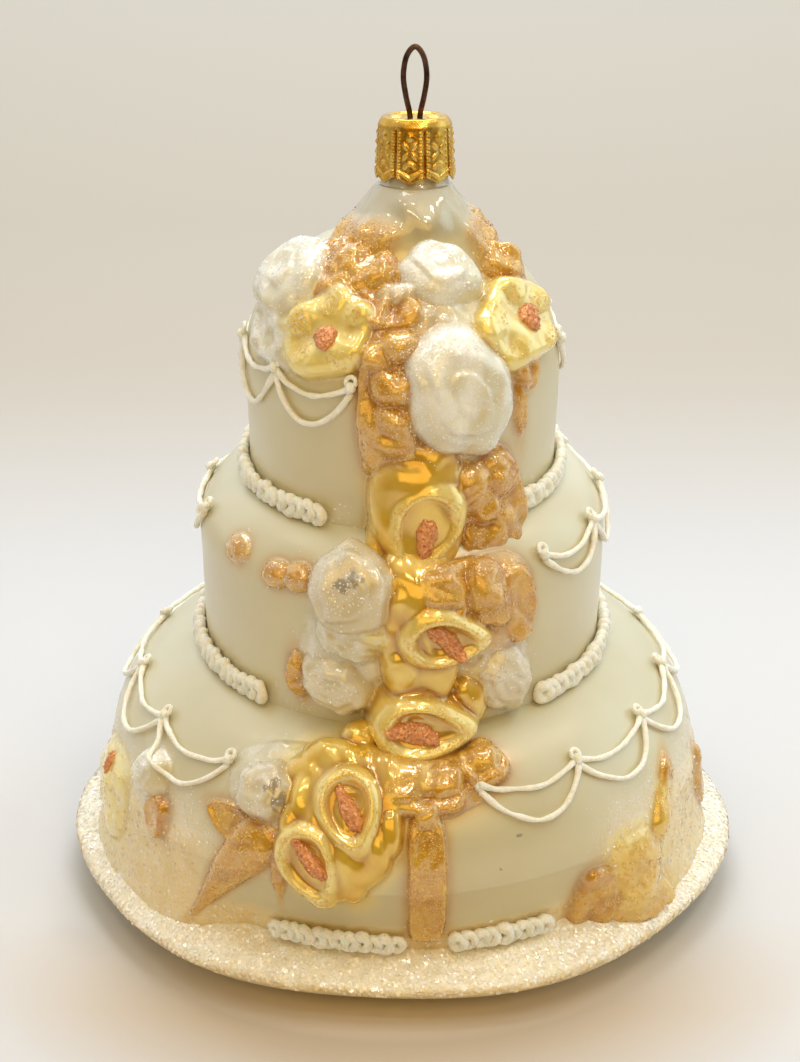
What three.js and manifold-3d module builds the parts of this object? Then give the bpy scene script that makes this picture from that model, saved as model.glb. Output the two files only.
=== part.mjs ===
// Blown-glass tree ornament in the form of a three-tier wedding cake, in millimetres, +Z up.
// The foot stands on z = 0 with its centre at the origin, and the fall of flowers faces -Y.
// Angles go round the cake in degrees, from 0 at the front to positive on the +X side.
import * as THREE from 'three';
import { mergeVertices } from 'three/addons/utils/BufferGeometryUtils.js';
import Module from 'manifold-3d';

const wasm = await Module();
wasm.setup();

// Clear space between pieces that touch on the real ornament: one above the other, under the
// paste, and round the hanger's legs.
const GAP = { over: 0.3, paste: 0.48, leg: 0.39 };

// The plate: a wavy round, a little wider than deep, whose lip overhangs its foot. Its side is
// given as rows of [radius, height] from the foot up over the lip.
const PLATE = { foot: 35, radius: 52, widen: 1.6, wave: 0.6, waves: 6, waveTurn: 35 };
const PLATE_SIDE = [[PLATE.foot, 0], [44, 1.8], [50.4, 5.4], [PLATE.radius, 6.4], [51.8, 7.8], [49.6, 9]];

// A tier's wall leans from `foot` out to `wall`, and its shoulder is a quarter ellipse that
// goes on from `wallTop` and `reach` inwards to level ground at `crown`.
const BOTTOM = { base: 12, foot: 44.3, wall: 47.2, wallTop: 23, crown: 43.6, reach: 22.4, wallSteps: 3 };
const MIDDLE = { base: 42.7, foot: 31.2, wall: 31.8, wallTop: 62.8, crown: 72.5, reach: 11.8, wallSteps: 1 };
const TOP = { base: 71.8, foot: 23.6, wall: 24, wallTop: 90, crown: 109.5, reach: 18, wallSteps: 1 };
const BODY_SEGMENTS = 40;
const SHOULDER_STEPS = 5;

// Beside the flowers the glass runs out from the bottom tier's wall to the plate's lip, over
// spans of angle with faded ends. Below `sunk` it lies wholly in the plate.
const SLOPE = {
  spans: [[-100, -30], [34, 100]], fade: 16, top: 27, bottom: 9, sunk: 5, reach: 6.3, bend: 1.6,
};

// The neck stands off the cake's axis, as the glass was drawn out by hand. Its side is given as
// rows of [radius, height]; the top tier ends within it, at radius `inside`.
const NECK = { aside: 1.9, inside: 6.5, segments: 24 };
const NECK_SIDE = [[13.4, 104], [11.1, 110], [8.1, 114.4], [5.7, 117.8], [4.9, 118.3], [4.75, 124.5]];

// The neck bends back from the flowers between two heights, and all that sits on it leans with it.
const LEAN = { angle: 10, from: 110, to: 118.3, pivot: 114 };

// The pressed metal cap, with pointed tongues round its lower edge.
const CAP = {
  bottom: 118.6, top: 128, rim: 5.9, crown: 5.5, wall: 0.5, bevel: 0.8, tongues: 8, point: 1.1, pleat: 0.12,
};

// The hanger: one bent wire whose legs go down through the cap.
const HANGER = { top: 138.5, width: 4.3, wire: 0.85, legs: 1.5, legEnd: 125.6, steps: 22, sides: 6 };

// White paste: beaded borders at the foot of each tier, over spans that leave out the flowers.
const BEAD = { radius: 1.2, waist: 0.75, pitch: 3.75, sides: 4 };
const BORDERS = [
  { name: 'top_border', tier: TOP, height: 73.7, from: 46, to: 332 },
  { name: 'middle_border', tier: MIDDLE, height: 44.5, from: 40, to: 319 },
  { name: 'bottom_border_left', tier: BOTTOM, height: 13.5, from: -26, to: 0 },
  { name: 'bottom_border_right', tier: BOTTOM, height: 13.5, from: 9.5, to: 29.5 },
  { name: 'bottom_border_back', tier: BOTTOM, height: 13.5, from: 105, to: 255 },
];

// White paste: swags round the back from one side of the flowers to the other, in two strands.
const STRAND = { radius: 0.6, knot: 1.1, steps: 4, sides: 4 };
const SWAGS = [
  { name: 'top_swags', tier: TOP, height: 95, from: 80, to: 342, count: 8, high: 2.2, low: 6 },
  { name: 'middle_swags', tier: MIDDLE, height: 67.4, from: 43, to: 283, count: 9, high: 2, low: 4.4 },
  { name: 'bottom_swags', tier: BOTTOM, height: 37.2, from: 16, to: 321, count: 13, high: 2, low: 4.8 },
];

// Moulded flowers, as tier, angle, height of the centre, width, length up the tier, depth, turn,
// and how much further than its upper edge each millimetre below it stands out.
const ROSES = [
  [TOP, -66, 105.5, 15, 15, 4.4],
  [TOP, 22, 107.8, 11.4, 12.6, 4.4, 40],
  [TOP, 19.8, 94, 16, 20, 5.4, 20],
  [MIDDLE, -13.4, 65.8, 13, 14, 5.2, 10],
  [MIDDLE, -17.8, 50, 9, 12, 3.8, 60],
  [MIDDLE, 28.5, 49.6, 9.4, 12, 3.2, 15],
  [BOTTOM, -28, 35.4, 9.6, 9.2, 4, 30],
  [BOTTOM, -57, 27.8, 8.4, 8.4, 3.4],
];
const LILIES = [
  [TOP, 6.8, 75.2, 10, 14.6, 4.6, -16, 0.22],
  [MIDDLE, 10, 59.4, 10, 12.6, 4.6, 80],
  [MIDDLE, 4.6, 45.3, 10, 13, 4.6, 84, 0.3],
  [BOTTOM, -10.2, 35, 10, 12.4, 4, 18],
  [BOTTOM, -16.6, 27.8, 9.4, 12.4, 3.8, 28],
];
const BLOSSOMS = [
  [TOP, -30.6, 102, 14.4, 12.6, 2.8, 10],
  [TOP, 52.5, 101, 17, 14, 2.8],
];
const LEAVES = [
  [TOP, -24, 108.2, 12, 12, 3.4, -20],
  [TOP, -50, 108.3, 9, 11, 3.4, 25],
  [TOP, 68, 107.5, 7, 15, 3.2, 12],
  [TOP, 50.5, 95, 5.6, 8.4, 2],
  [TOP, 46.6, 88.6, 2.6, 10, 1.1, 5],
  [MIDDLE, -29.4, 49.6, 4, 8.4, 2, 8],
  [BOTTOM, -33.8, 30.2, 5.4, 10.4, 1.1, 76],
  [BOTTOM, -34.1, 22.1, 9.4, 24, 2.2, -36],
  [BOTTOM, -23, 24.4, 4.6, 11, 1.3, -4],
  [BOTTOM, 82, 20, 5, 12, 1.2, 10],
];
// Folds of ribbon, then the swollen sides of the lilies' trumpets.
const FOLDS = [
  [TOP, -4.6, 92.8, 9.4, 25, 1.9],
  [TOP, -5, 103.4, 9, 6, 2.4],
  [TOP, -4, 99.2, 7.6, 7, 3.5],
  [TOP, 29.6, 75.6, 10, 16, 3, 8, 0.12],
  [MIDDLE, 17.4, 65, 13, 10.6, 2.8],
  [MIDDLE, 32.4, 62, 6, 12.6, 2.1, 5],
  [BOTTOM, 4.4, 37.4, 13, 8.4, 2.2],
  [BOTTOM, 19, 41.2, 6.6, 5.4, 2.4, 20],
  [BOTTOM, -53, 25.4, 4.8, 6.6, 1.6],
  [BOTTOM, 4.6, 24.7, 5.7, 23, 1.3],
  [BOTTOM, 39.4, 15, 6.6, 12, 1.7, -6],
  [TOP, 8.4, 83.2, 10, 8.4, 3.2],
  [MIDDLE, -1, 63.6, 4.4, 9.4, 3, -8],
  [MIDDLE, 0, 54.4, 6, 8, 3.5],
  [MIDDLE, 16, 45, 8, 10, 3],
  [BOTTOM, -14.4, 39.8, 12, 6.6, 3.4, -6],
  [BOTTOM, -19.6, 35.6, 4.8, 9, 2.9, 6],
  [BOTTOM, -2.4, 33, 4.2, 9, 2.6],
  [BOTTOM, -9.2, 26.6, 4.8, 10, 2.6, 8],
];
// Low swells of glass that fill the room between the flowers.
const BEDS = [
  [TOP, 5.8, 77, 13.5, 20, 3, 0, 0.22],
  [TOP, -36, 107.6, 17, 13, 2.6],
  [TOP, 19, 98, 16, 33, 1.8, 6],
  [MIDDLE, 4.6, 59, 13.5, 34, 3],
  [MIDDLE, 24, 62, 15, 18, 1.4],
  [MIDDLE, -13.4, 60, 12.6, 13, 3.4],
  [MIDDLE, -17, 54.4, 12, 12, 1.6],
  [BOTTOM, -9.5, 37.6, 26, 14, 2.6, 12],
  [BOTTOM, -13.5, 31, 17, 21, 2.9, 22],
  [BOTTOM, -27, 36.5, 14, 14, 1.2],
  [BOTTOM, -74.5, 21.6, 16, 14, 1.8],
  [BOTTOM, 49, 17.4, 12.5, 14, 1.7],
  [BOTTOM, 58.6, 24.4, 5, 15, 1.3, -36],
];
const BUDS = [
  [MIDDLE, -53, 66.6, 5.2, 4.8, 1.1],
  [MIDDLE, -36.6, 65.6, 5, 4.8, 1.8],
  [MIDDLE, -29.6, 66, 5, 4.8, 1.9],
];

const radians = THREE.MathUtils.degToRad;

// Closed surface with shared corners, no empty triangles and its faces pointing out.
function welded(geometry) {
  geometry.deleteAttribute('normal');
  geometry.deleteAttribute('uv');
  const joined = mergeVertices(geometry, 1e-4);
  const place = joined.attributes.position;
  const corners = [];
  let volume = 0;
  for (let i = 0; i < joined.index.count; i += 3) {
    const [a, b, c] = [0, 1, 2].map((k) => joined.index.getX(i + k));
    if (a === b || b === c || c === a) continue;
    const [p, q, r] = [a, b, c].map((k) => new THREE.Vector3().fromBufferAttribute(place, k));
    volume += p.dot(q.cross(r));
    corners.push([a, b, c]);
  }
  const facing = volume < 0 ? corners.map(([a, b, c]) => [a, c, b]) : corners;
  joined.setIndex(facing.flat());
  return joined;
}

function solid(geometry) {
  const closed = welded(geometry);
  return new wasm.Manifold(new wasm.Mesh({
    numProp: 3,
    vertProperties: new Float32Array(closed.attributes.position.array),
    triVerts: new Uint32Array(closed.index.array),
  }));
}

function surface(body) {
  const { vertProperties, triVerts } = body.getMesh();
  const geometry = new THREE.BufferGeometry();
  geometry.setAttribute('position', new THREE.BufferAttribute(vertProperties, 3));
  geometry.setIndex(new THREE.BufferAttribute(triVerts, 1));
  geometry.computeVertexNormals();
  return geometry;
}

// Body of revolution round Z from rows of [radius, height], its plan reshaped by `plan`.
function turned(rows, segments, plan = () => 1) {
  const outline = rows.map(([radius, height]) => new THREE.Vector2(radius, height));
  const geometry = new THREE.LatheGeometry(outline, segments);
  geometry.rotateX(Math.PI / 2);
  const place = geometry.attributes.position;
  for (let i = 0; i < place.count; i += 1) {
    const [x, y, z] = [place.getX(i), place.getY(i), place.getZ(i)];
    const reach = plan(Math.atan2(y, x), z, Math.hypot(x, y));
    place.setXY(i, x * reach, y * reach);
  }
  return geometry;
}

// Point of a tier's side as [radius, height], `along` millimetres above the top of its wall.
function tierSide(tier, along) {
  if (along <= 0) {
    const height = tier.wallTop + along;
    return [THREE.MathUtils.mapLinear(height, tier.base, tier.wallTop, tier.foot, tier.wall), height];
  }
  const rise = tier.crown - tier.wallTop;
  const turn = along / ((tier.reach + rise) / 2);
  return [tier.wall - tier.reach + tier.reach * Math.cos(turn), tier.wallTop + rise * Math.sin(turn)];
}

// How far along a tier's side a height lies.
function tierAlong(tier, height) {
  const rise = tier.crown - tier.wallTop;
  if (height <= tier.wallTop) return height - tier.wallTop;
  return Math.asin((height - tier.wallTop) / rise) * ((tier.reach + rise) / 2);
}

// How far the foot of the cake runs out towards the plate's lip, at an angle and a height.
function slope(angle, height) {
  const { spans, fade, top, bottom, sunk, reach, bend } = SLOPE;
  const { clamp, euclideanModulo, smoothstep } = THREE.MathUtils;
  const turn = euclideanModulo(angle + 180, 360) - 180;
  const shares = spans.map(([start, end]) => (
    smoothstep(turn, start, start + fade) * (1 - smoothstep(turn, end - fade, end))
  ));
  const full = reach - PLATE.widen * Math.cos(2 * radians(angle));
  const down = clamp((top - height) / (top - bottom), 0, 1) ** bend;
  return full * Math.max(...shares) * down * smoothstep(height, sunk, bottom);
}

// Point over a tier's side, `lift` straight out from the glass.
function overTier(tier, angle, along, lift) {
  const step = 0.1;
  const [radius, height] = tierSide(tier, along);
  const out = lift + (tier === BOTTOM ? slope(angle, height) : 0);
  const [inner, upper] = tierSide(tier, along + step);
  const [outer, lower] = tierSide(tier, along - step);
  const size = Math.hypot(upper - lower, outer - inner);
  const reach = radius + (out * (upper - lower)) / size;
  const turn = radians(angle);
  const level = height + (out * (outer - inner)) / size;
  return new THREE.Vector3(reach * Math.sin(turn), -reach * Math.cos(turn), level);
}

// Bends a shape modelled flat, with x across, y up and z out, over the side of a tier.
function draped(geometry, [tier, angle, height, , length, , turn = 0, lean = 0]) {
  geometry.rotateZ(radians(turn));
  const along = tierAlong(tier, height);
  const [radius] = tierSide(tier, along);
  const place = geometry.attributes.position;
  for (let i = 0; i < place.count; i += 1) {
    const across = angle + THREE.MathUtils.radToDeg(place.getX(i) / radius);
    const up = place.getY(i);
    const out = place.getZ(i);
    const hung = out > 0 ? lean * Math.max(0, length / 2 - up) : 0;
    const point = overTier(tier, across, along + up, out + hung);
    place.setXYZ(i, point.x, point.y, point.z);
  }
  return solid(geometry);
}

// Shape of a flower: rows are shares of its half-width and depth, and `plan` shapes its edge.
function relief(flower, rows, segments, plan) {
  const [, , , width, length, depth] = flower;
  const geometry = turned(rows, segments, plan);
  geometry.scale(width / 2, length / 2, depth);
  return draped(geometry, flower);
}

// How far each flower's root goes into the glass, as a share of its depth. The root is as wide
// as the flower, so nothing undercuts the mould.
const ROOT = -0.5;

// Plan between a lozenge (power near 1) and a rounded square (power 4).
function rounded(power) {
  return (angle) => {
    const spread = Math.abs(Math.cos(angle)) ** power + Math.abs(Math.sin(angle)) ** power;
    return spread ** (-1 / power);
  };
}

// Rose: a dome with a step between its outer petals and its heart.
function rose(flower) {
  const outer = [[0, ROOT], [1, ROOT], [1, 0.3], [0.82, 0.72], [0.66, 0.64]];
  const heart = [[0.54, 0.92], [0.36, 0.84], [0, 1]];
  const petals = 5;
  return relief(flower, [...outer, ...heart], 10, (angle) => 1 + 0.05 * Math.cos(petals * angle));
}

// Calla lily: a pointed cup with a rolled lip, and a spadix lying in it.
function lily(flower) {
  const [, , , width, length, depth] = flower;
  const outside = [[0, ROOT], [1, ROOT], [1, 0.5], [0.88, 0.84]];
  const inside = [[0.7, 1], [0.54, 0.78], [0.25, 0.61], [0, 0.61]];
  const pointed = (around) => 1 + 0.2 * Math.max(0, -Math.sin(around)) ** 5;
  const cup = relief(flower, [...outside, ...inside], 10, pointed);
  const spadix = new THREE.SphereGeometry(1, 6, 4);
  spadix.scale(0.15 * width, 0.26 * length, 0.3 * depth);
  spadix.translate(0, -0.04 * length, 0.65 * depth);
  return cup.add(draped(spadix, flower));
}

// Open flower with five petals round a raised eye.
function blossom(flower) {
  const [, , , width, , depth] = flower;
  const rows = [[0, ROOT], [1, ROOT], [1, 0.35], [0.84, 0.85], [0.5, 1], [0.24, 0.7], [0, 0.7]];
  const petals = 5;
  const face = relief(flower, rows, 15, (angle) => 1 + 0.12 * Math.cos(petals * (angle - Math.PI / 2)));
  const eye = new THREE.SphereGeometry(0.115 * width, 6, 4);
  eye.translate(0, 0, 0.75 * depth);
  return face.add(draped(eye, flower));
}

function leaf(flower) {
  return relief(flower, [[0, ROOT], [1, ROOT], [1, 0.25], [0.55, 0.85], [0, 1]], 8, rounded(1.3));
}

// Fold of ribbon or swollen trumpet: a rounded square with a dip across its face.
function fold(flower) {
  return relief(flower, [[0, ROOT], [1, ROOT], [1, 0.5], [0.82, 1], [0, 0.75]], 8, rounded(3.5));
}

function bed(flower) {
  return relief(flower, [[0, ROOT], [1, ROOT], [1, 0.05], [0.75, 0.7], [0, 1]], 8, rounded(2.2));
}

function bud(flower) {
  return relief(flower, [[0, ROOT], [1, ROOT], [1, 0.35], [0.7, 0.85], [0, 1]], 6);
}

function flowers() {
  return [
    ...ROSES.map(rose), ...LILIES.map(lily), ...BLOSSOMS.map(blossom),
    ...LEAVES.map(leaf), ...FOLDS.map(fold), ...BEDS.map(bed), ...BUDS.map(bud),
  ];
}

// Rows of one tier's side, up to where what stands on its shoulder begins, at radius `inner`.
function tierRows(tier, inner) {
  const wall = tier.wallTop - tier.base;
  const last = Math.acos((inner - tier.wall + tier.reach) / tier.reach);
  const shoulder = (last * (tier.reach + tier.crown - tier.wallTop)) / 2;
  const rows = [];
  for (let step = -tier.wallSteps; step < 0; step += 1) {
    rows.push(tierSide(tier, (wall * step) / tier.wallSteps));
  }
  for (let step = 0; step <= SHOULDER_STEPS; step += 1) {
    rows.push(tierSide(tier, (shoulder * step) / SHOULDER_STEPS));
  }
  return rows;
}

// Plate and tiers as one glass body of revolution, whose plate and foot then leave the round.
function cake() {
  const rows = [
    [0, 0], ...PLATE_SIDE, ...tierRows(BOTTOM, MIDDLE.foot), ...tierRows(MIDDLE, TOP.foot),
    ...tierRows(TOP, NECK.inside), [0, TOP.crown],
  ];
  return solid(turned(rows, BODY_SEGMENTS, (angle, height, radius) => {
    const round = angle + Math.PI / 2;
    if (radius < 1) return 1;
    if (height >= BOTTOM.base) return 1 + slope(THREE.MathUtils.radToDeg(round), height) / radius;
    const share = THREE.MathUtils.smoothstep(radius, PLATE.foot, PLATE.radius);
    const ripple = PLATE.wave * Math.cos(PLATE.waves * (round + radians(PLATE.waveTurn)));
    return 1 + (share * (ripple - PLATE.widen * Math.cos(2 * round))) / PLATE.radius;
  }));
}

// Bends the neck's points back, and leans those above the bend by the whole angle.
function leaned(geometry) {
  const place = geometry.attributes.position;
  for (let i = 0; i < place.count; i += 1) {
    const turn = radians(LEAN.angle) * THREE.MathUtils.smoothstep(place.getZ(i), LEAN.from, LEAN.to);
    const [y, up] = [place.getY(i), place.getZ(i) - LEAN.pivot];
    place.setY(i, y * Math.cos(turn) + up * Math.sin(turn));
    place.setZ(i, LEAN.pivot + up * Math.cos(turn) - y * Math.sin(turn));
  }
  return geometry;
}

function neck() {
  const [[, low]] = NECK_SIDE;
  const [, high] = NECK_SIDE.at(-1);
  const geometry = turned([[0, low], ...NECK_SIDE, [0, high]], NECK.segments);
  geometry.translate(NECK.aside, 0, 0);
  return solid(leaned(geometry));
}

function glassBody() {
  return flowers().reduce((body, flower) => body.add(flower), cake().add(neck()));
}

// Rope of paste laid on a tier from one angle to another, with closed ends. `course` gives its
// thickness and how far it lies up the tier's side at each share of its way.
function rope({ tier, from, to }, sides, steps, course) {
  const geometry = new THREE.CylinderGeometry(1, 1, 1, sides, steps);
  const place = geometry.attributes.position;
  for (let i = 0; i < place.count; i += 1) {
    const share = place.getY(i) + 0.5;
    const { thick, along } = course(share);
    const lift = GAP.paste + thick + thick * place.getX(i);
    const point = overTier(tier, from + (to - from) * share, along + thick * place.getZ(i), lift);
    place.setXYZ(i, point.x, point.y, point.z);
  }
  return solid(geometry);
}

// Border of beads, thick and thin by turns.
function border(run) {
  const along = tierAlong(run.tier, run.height);
  const [radius] = tierSide(run.tier, along);
  const beads = Math.round((radius * radians(run.to - run.from)) / BEAD.pitch);
  return rope(run, BEAD.sides, beads * 2, (share) => {
    const bead = Math.round(share * beads * 2) % 2 === 1;
    return { thick: bead ? BEAD.radius : BEAD.waist, along };
  });
}

// One strand of a run of swags, hanging `sag` below a line `drop` under the knots.
function strand(run, sag, drop, knot) {
  const top = tierAlong(run.tier, run.height) - drop;
  return rope(run, STRAND.sides, run.count * STRAND.steps, (share) => {
    const step = Math.round(share * run.count * STRAND.steps) % STRAND.steps;
    const hang = step / STRAND.steps;
    return { thick: step === 0 ? knot : STRAND.radius, along: top - 4 * sag * hang * (1 - hang) };
  });
}

// Cap: a pleated cup, pointed below, with two holes for the hanger's legs.
function cap() {
  const { bottom, top, rim, crown, wall, bevel, tongues, point, pleat } = CAP;
  const outside = [[0, top], [crown - bevel, top], [crown, top - bevel], [rim, bottom]];
  const inside = [[rim - wall, bottom], [crown - wall, top - 2 * wall], [0, top - 2 * wall]];
  const pleated = (angle, height, radius) => 1 + (pleat * Math.cos(tongues * angle)) / Math.max(radius, 1);
  const cup = turned([...outside, ...inside], tongues * 4, pleated);
  const place = cup.attributes.position;
  for (let i = 0; i < place.count; i += 1) {
    if (place.getZ(i) > bottom + point / 10) continue;
    const angle = Math.atan2(place.getY(i), place.getX(i));
    const tongue = Math.abs(((angle * tongues) / Math.PI) % 2);
    place.setZ(i, bottom + point * Math.min(tongue, 2 - tongue));
  }
  const holed = solid(leaned(cup)).subtract(legHole(-1)).subtract(legHole(1));
  return holed.translate([NECK.aside, 0, 0]);
}

// Hole through the cap's top for one of the hanger's legs.
function legHole(side) {
  const radius = HANGER.wire / 2 + GAP.leg;
  const hole = new THREE.CylinderGeometry(radius, radius, 6 * CAP.wall, 10);
  hole.rotateX(Math.PI / 2);
  return solid(leaned(hole.translate((side * HANGER.legs) / 2, 0, CAP.top)));
}

// Hanger loop: up one leg, round a pointed oval and down the other leg.
function hangerLoop() {
  const { top, width, wire, legs, legEnd } = HANGER;
  const half = (width - wire) / 2;
  const rise = top - wire / 2 - CAP.top;
  const side = [[0.8, 0.3], [1, 0.58], [0.72, 0.86]].map(([out, up]) => [out * half, CAP.top + up * rise]);
  const right = [[legs / 2, legEnd], [legs / 2, CAP.top], ...side];
  const left = right.map(([x, z]) => [-x, z]).reverse();
  const points = [...right, [0, CAP.top + rise], ...left];
  const path = new THREE.CatmullRomCurve3(points.map(([x, z]) => new THREE.Vector3(x + NECK.aside, 0, z)));
  const section = new THREE.Shape();
  section.absarc(0, 0, wire / 2, 0, 2 * Math.PI);
  return solid(leaned(new THREE.ExtrudeGeometry(section, {
    steps: HANGER.steps, curveSegments: HANGER.sides / 2, extrudePath: path, bevelEnabled: false,
  })));
}

const pearlGlass = new THREE.MeshStandardMaterial({ color: '#e9e3cf', roughness: 0.3, metalness: 0 });
const whitePaste = new THREE.MeshStandardMaterial({ color: '#f3efe3', roughness: 0.8, metalness: 0 });
const goldFoil = new THREE.MeshStandardMaterial({ color: '#cf9a2c', roughness: 0.28, metalness: 1 });
const bronzeWire = new THREE.MeshStandardMaterial({ color: '#4b3428', roughness: 0.45, metalness: 0.8 });

const ornament = new THREE.Group();

function place(name, body, material) {
  const mesh = new THREE.Mesh(surface(body), material);
  mesh.name = name;
  ornament.add(mesh);
}

place('glass_body', glassBody(), pearlGlass);
place('cap', cap(), goldFoil);
place('hanger_loop', hangerLoop(), bronzeWire);

for (const run of BORDERS) place(run.name, border(run), whitePaste);
for (const run of SWAGS) {
  const below = STRAND.knot + STRAND.radius + GAP.over;
  place(`${run.name}_high`, strand(run, run.high, 0, STRAND.knot), whitePaste);
  place(`${run.name}_low`, strand(run, run.low, below, STRAND.radius), whitePaste);
}

export default ornament;
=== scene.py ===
"""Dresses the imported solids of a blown-glass wedding cake ornament: flowers pressed in the glass,
lacquer, glitter, piped paste, a stamped gold cap and a wire hanger, in the frame of the solids."""
import math
from collections import namedtuple

import bpy
import numpy as np
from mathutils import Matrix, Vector


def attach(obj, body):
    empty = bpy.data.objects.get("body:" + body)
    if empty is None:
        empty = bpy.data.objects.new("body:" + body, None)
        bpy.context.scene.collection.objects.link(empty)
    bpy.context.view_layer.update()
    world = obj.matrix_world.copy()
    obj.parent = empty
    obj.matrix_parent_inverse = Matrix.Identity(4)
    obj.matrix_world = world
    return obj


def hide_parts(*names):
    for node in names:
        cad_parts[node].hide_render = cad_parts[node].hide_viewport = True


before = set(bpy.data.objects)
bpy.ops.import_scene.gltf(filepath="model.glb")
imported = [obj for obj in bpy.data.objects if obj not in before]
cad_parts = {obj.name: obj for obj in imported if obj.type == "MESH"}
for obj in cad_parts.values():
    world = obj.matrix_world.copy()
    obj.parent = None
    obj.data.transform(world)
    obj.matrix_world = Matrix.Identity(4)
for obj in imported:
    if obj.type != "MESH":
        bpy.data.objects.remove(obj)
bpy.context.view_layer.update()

MM = 0.001
SEED = 11
BORDER_SEED = 40
SWAG_SEED = 1300

Tier = namedtuple("Tier", "base foot wall wall_top crown reach")
Flower = namedtuple("Flower", "tier angle height width length depth turn lean", defaults=(0, 0))
Shape = namedtuple("Shape", "lift share grain tint", defaults=(1,))
Run = namedtuple("Run", "name tier height start end")
Swags = namedtuple("Swags", "name tier height start end count high low")
Glitter = namedtuple("Glitter", "paint density size tilt lift seed most above below", defaults=(0, math.inf))
Skin = namedtuple("Skin", "tier angle along lift cover")
Part = namedtuple("Part", "points faces paint")

# Sizes in millimetres, as the solids have them. Angles go round the cake in degrees from the front.
PLATE = {"radius": 52, "widen": 1.6, "wave": 0.6, "waves": 6, "wave_turn": 35, "foot": 35}
PLATE_ROWS = [(35, 0), (44, 1.8), (48, 3.6), (50.8, 5.3), (52, 6.4), (51.9, 7.6), (50.4, 8.6), (47.6, 9.9)]
BOTTOM = Tier(12, 44.3, 47.2, 23, 43.6, 22.4)
MIDDLE = Tier(42.7, 31.2, 31.8, 62.8, 72.5, 11.8)
TOP = Tier(71.8, 23.6, 24, 90, 109.5, 18)
# Beside the flowers the glass runs out from the bottom tier's wall to the lip of the plate.
SLOPE = {"spans": [(-100, -30), (34, 100)], "fade": 16, "top": 27, "bottom": 9, "end": 5, "reach": 6.3,
         "bend": 1.6}
NECK_ASIDE = 1.9
NECK_ROWS = [(13.4, 104), (12.6, 107), (11.1, 110), (9.4, 112.4), (8.1, 114.4), (7.1, 115.8), (6.3, 117),
             (5.6, 117.9), (5, 118.5), (4.75, 124.4)]
# The neck bends back from the flowers between two heights, and all that sits on it leans with it.
LEAN = {"angle": 10, "from": 110, "to": 118.3, "pivot": 114}
CAP = {"bottom": 118.6, "top": 128, "rim": 5.9, "crown": 5.5, "shoulder": 1.1, "wall": 0.5, "panels": 8,
       "point": 1.1, "turn": -8}
HANGER = {"top": 138.5, "width": 4.3, "wire": 0.85, "legs": 1.5, "leg_end": 125.6}


def on(tier, *rows):
    """Flowers of one tier, from rows of their other values."""
    return [Flower(tier, *row) for row in rows]


# Moulded flowers: angle, height of the middle, width, length up the tier, depth, turn, and how much
# further than its upper edge each millimetre below it stands out.
ROSES = [
    *on(TOP, (-66, 105.5, 15, 15, 4.4), (22, 107.8, 11.4, 12.6, 4.4, 40), (19.8, 94, 16, 20, 5.4, 20)),
    *on(BOTTOM, (-57, 30.5, 7.6, 8, 3.2)),
]
CLEAR_ROSES = [
    *on(MIDDLE, (-13.4, 65.8, 13, 14, 5.2, 10), (-17.8, 50, 9, 12, 3.8, 60), (28.5, 49.6, 9.4, 12, 3.2, 15)),
    *on(BOTTOM, (-28, 35.4, 9.6, 9.2, 4, 30)),
]
CALLAS = [
    *on(TOP, (6.8, 75.2, 10, 14.6, 4.6, -16, 0.22)),
    *on(MIDDLE, (10, 59.4, 10, 12.6, 4.6, 80), (4.6, 45.3, 10, 13, 4.6, 84, 0.3)),
    *on(BOTTOM, (-10.2, 35, 10, 12.4, 4, 18), (-16.6, 27.8, 9.4, 12.4, 3.8, 28)),
]
BLOSSOMS = on(TOP, (-30.6, 101.4, 15, 13.6, 2.8, 10), (52.5, 101, 17, 14, 2.8))
LEMON_BEDS = on(BOTTOM, (-74.5, 21.6, 16, 14, 1.8))
LEAVES = [
    *on(TOP, (-24, 108.2, 12, 12, 3.4, -20), (-50, 108.3, 9, 11, 3.4, 25), (68, 107.5, 7, 15, 3.2, 12),
        (50.5, 95, 5.6, 8.4, 2), (46.6, 88.6, 2.6, 10, 1.1, 5)),
    *on(MIDDLE, (-29.4, 49.6, 4, 8.4, 2, 8)),
    *on(BOTTOM, (62.4, 28, 4.2, 8, 1, -25), (82, 20, 5, 12, 1.2, 10)),
]
GOLDEN_LEAVES = on(BOTTOM, (49, 17.4, 12.5, 14, 1.7), (57.6, 23.4, 5, 13, 1.3, -36),
                   (56.6, 11.6, 3.4, 7, 1.1, 35))
ALMONDS = on(BOTTOM, (-33.8, 30.2, 5.4, 10.4, 1.1, 76))
RIBBONS = [
    *on(TOP, (-4.6, 92.8, 9.4, 25, 1.9), (-4.4, 104.2, 9, 5, 2.2), (30.8, 75.6, 11.4, 17, 3, 8, 0.12)),
    *on(MIDDLE, (17.4, 65, 13, 10.6, 2.8), (32.4, 62, 6, 12.6, 2.1, 5)),
    *on(BOTTOM, (4.4, 37.4, 13, 8.4, 2.2), (18, 39.3, 7.4, 7.4, 2, 20), (-53, 25.4, 4.8, 6.6, 1.6),
        (49.4, 12.4, 11, 4.6, 1.5), (39.4, 15, 6.6, 12, 1.7, -6)),
]
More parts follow.
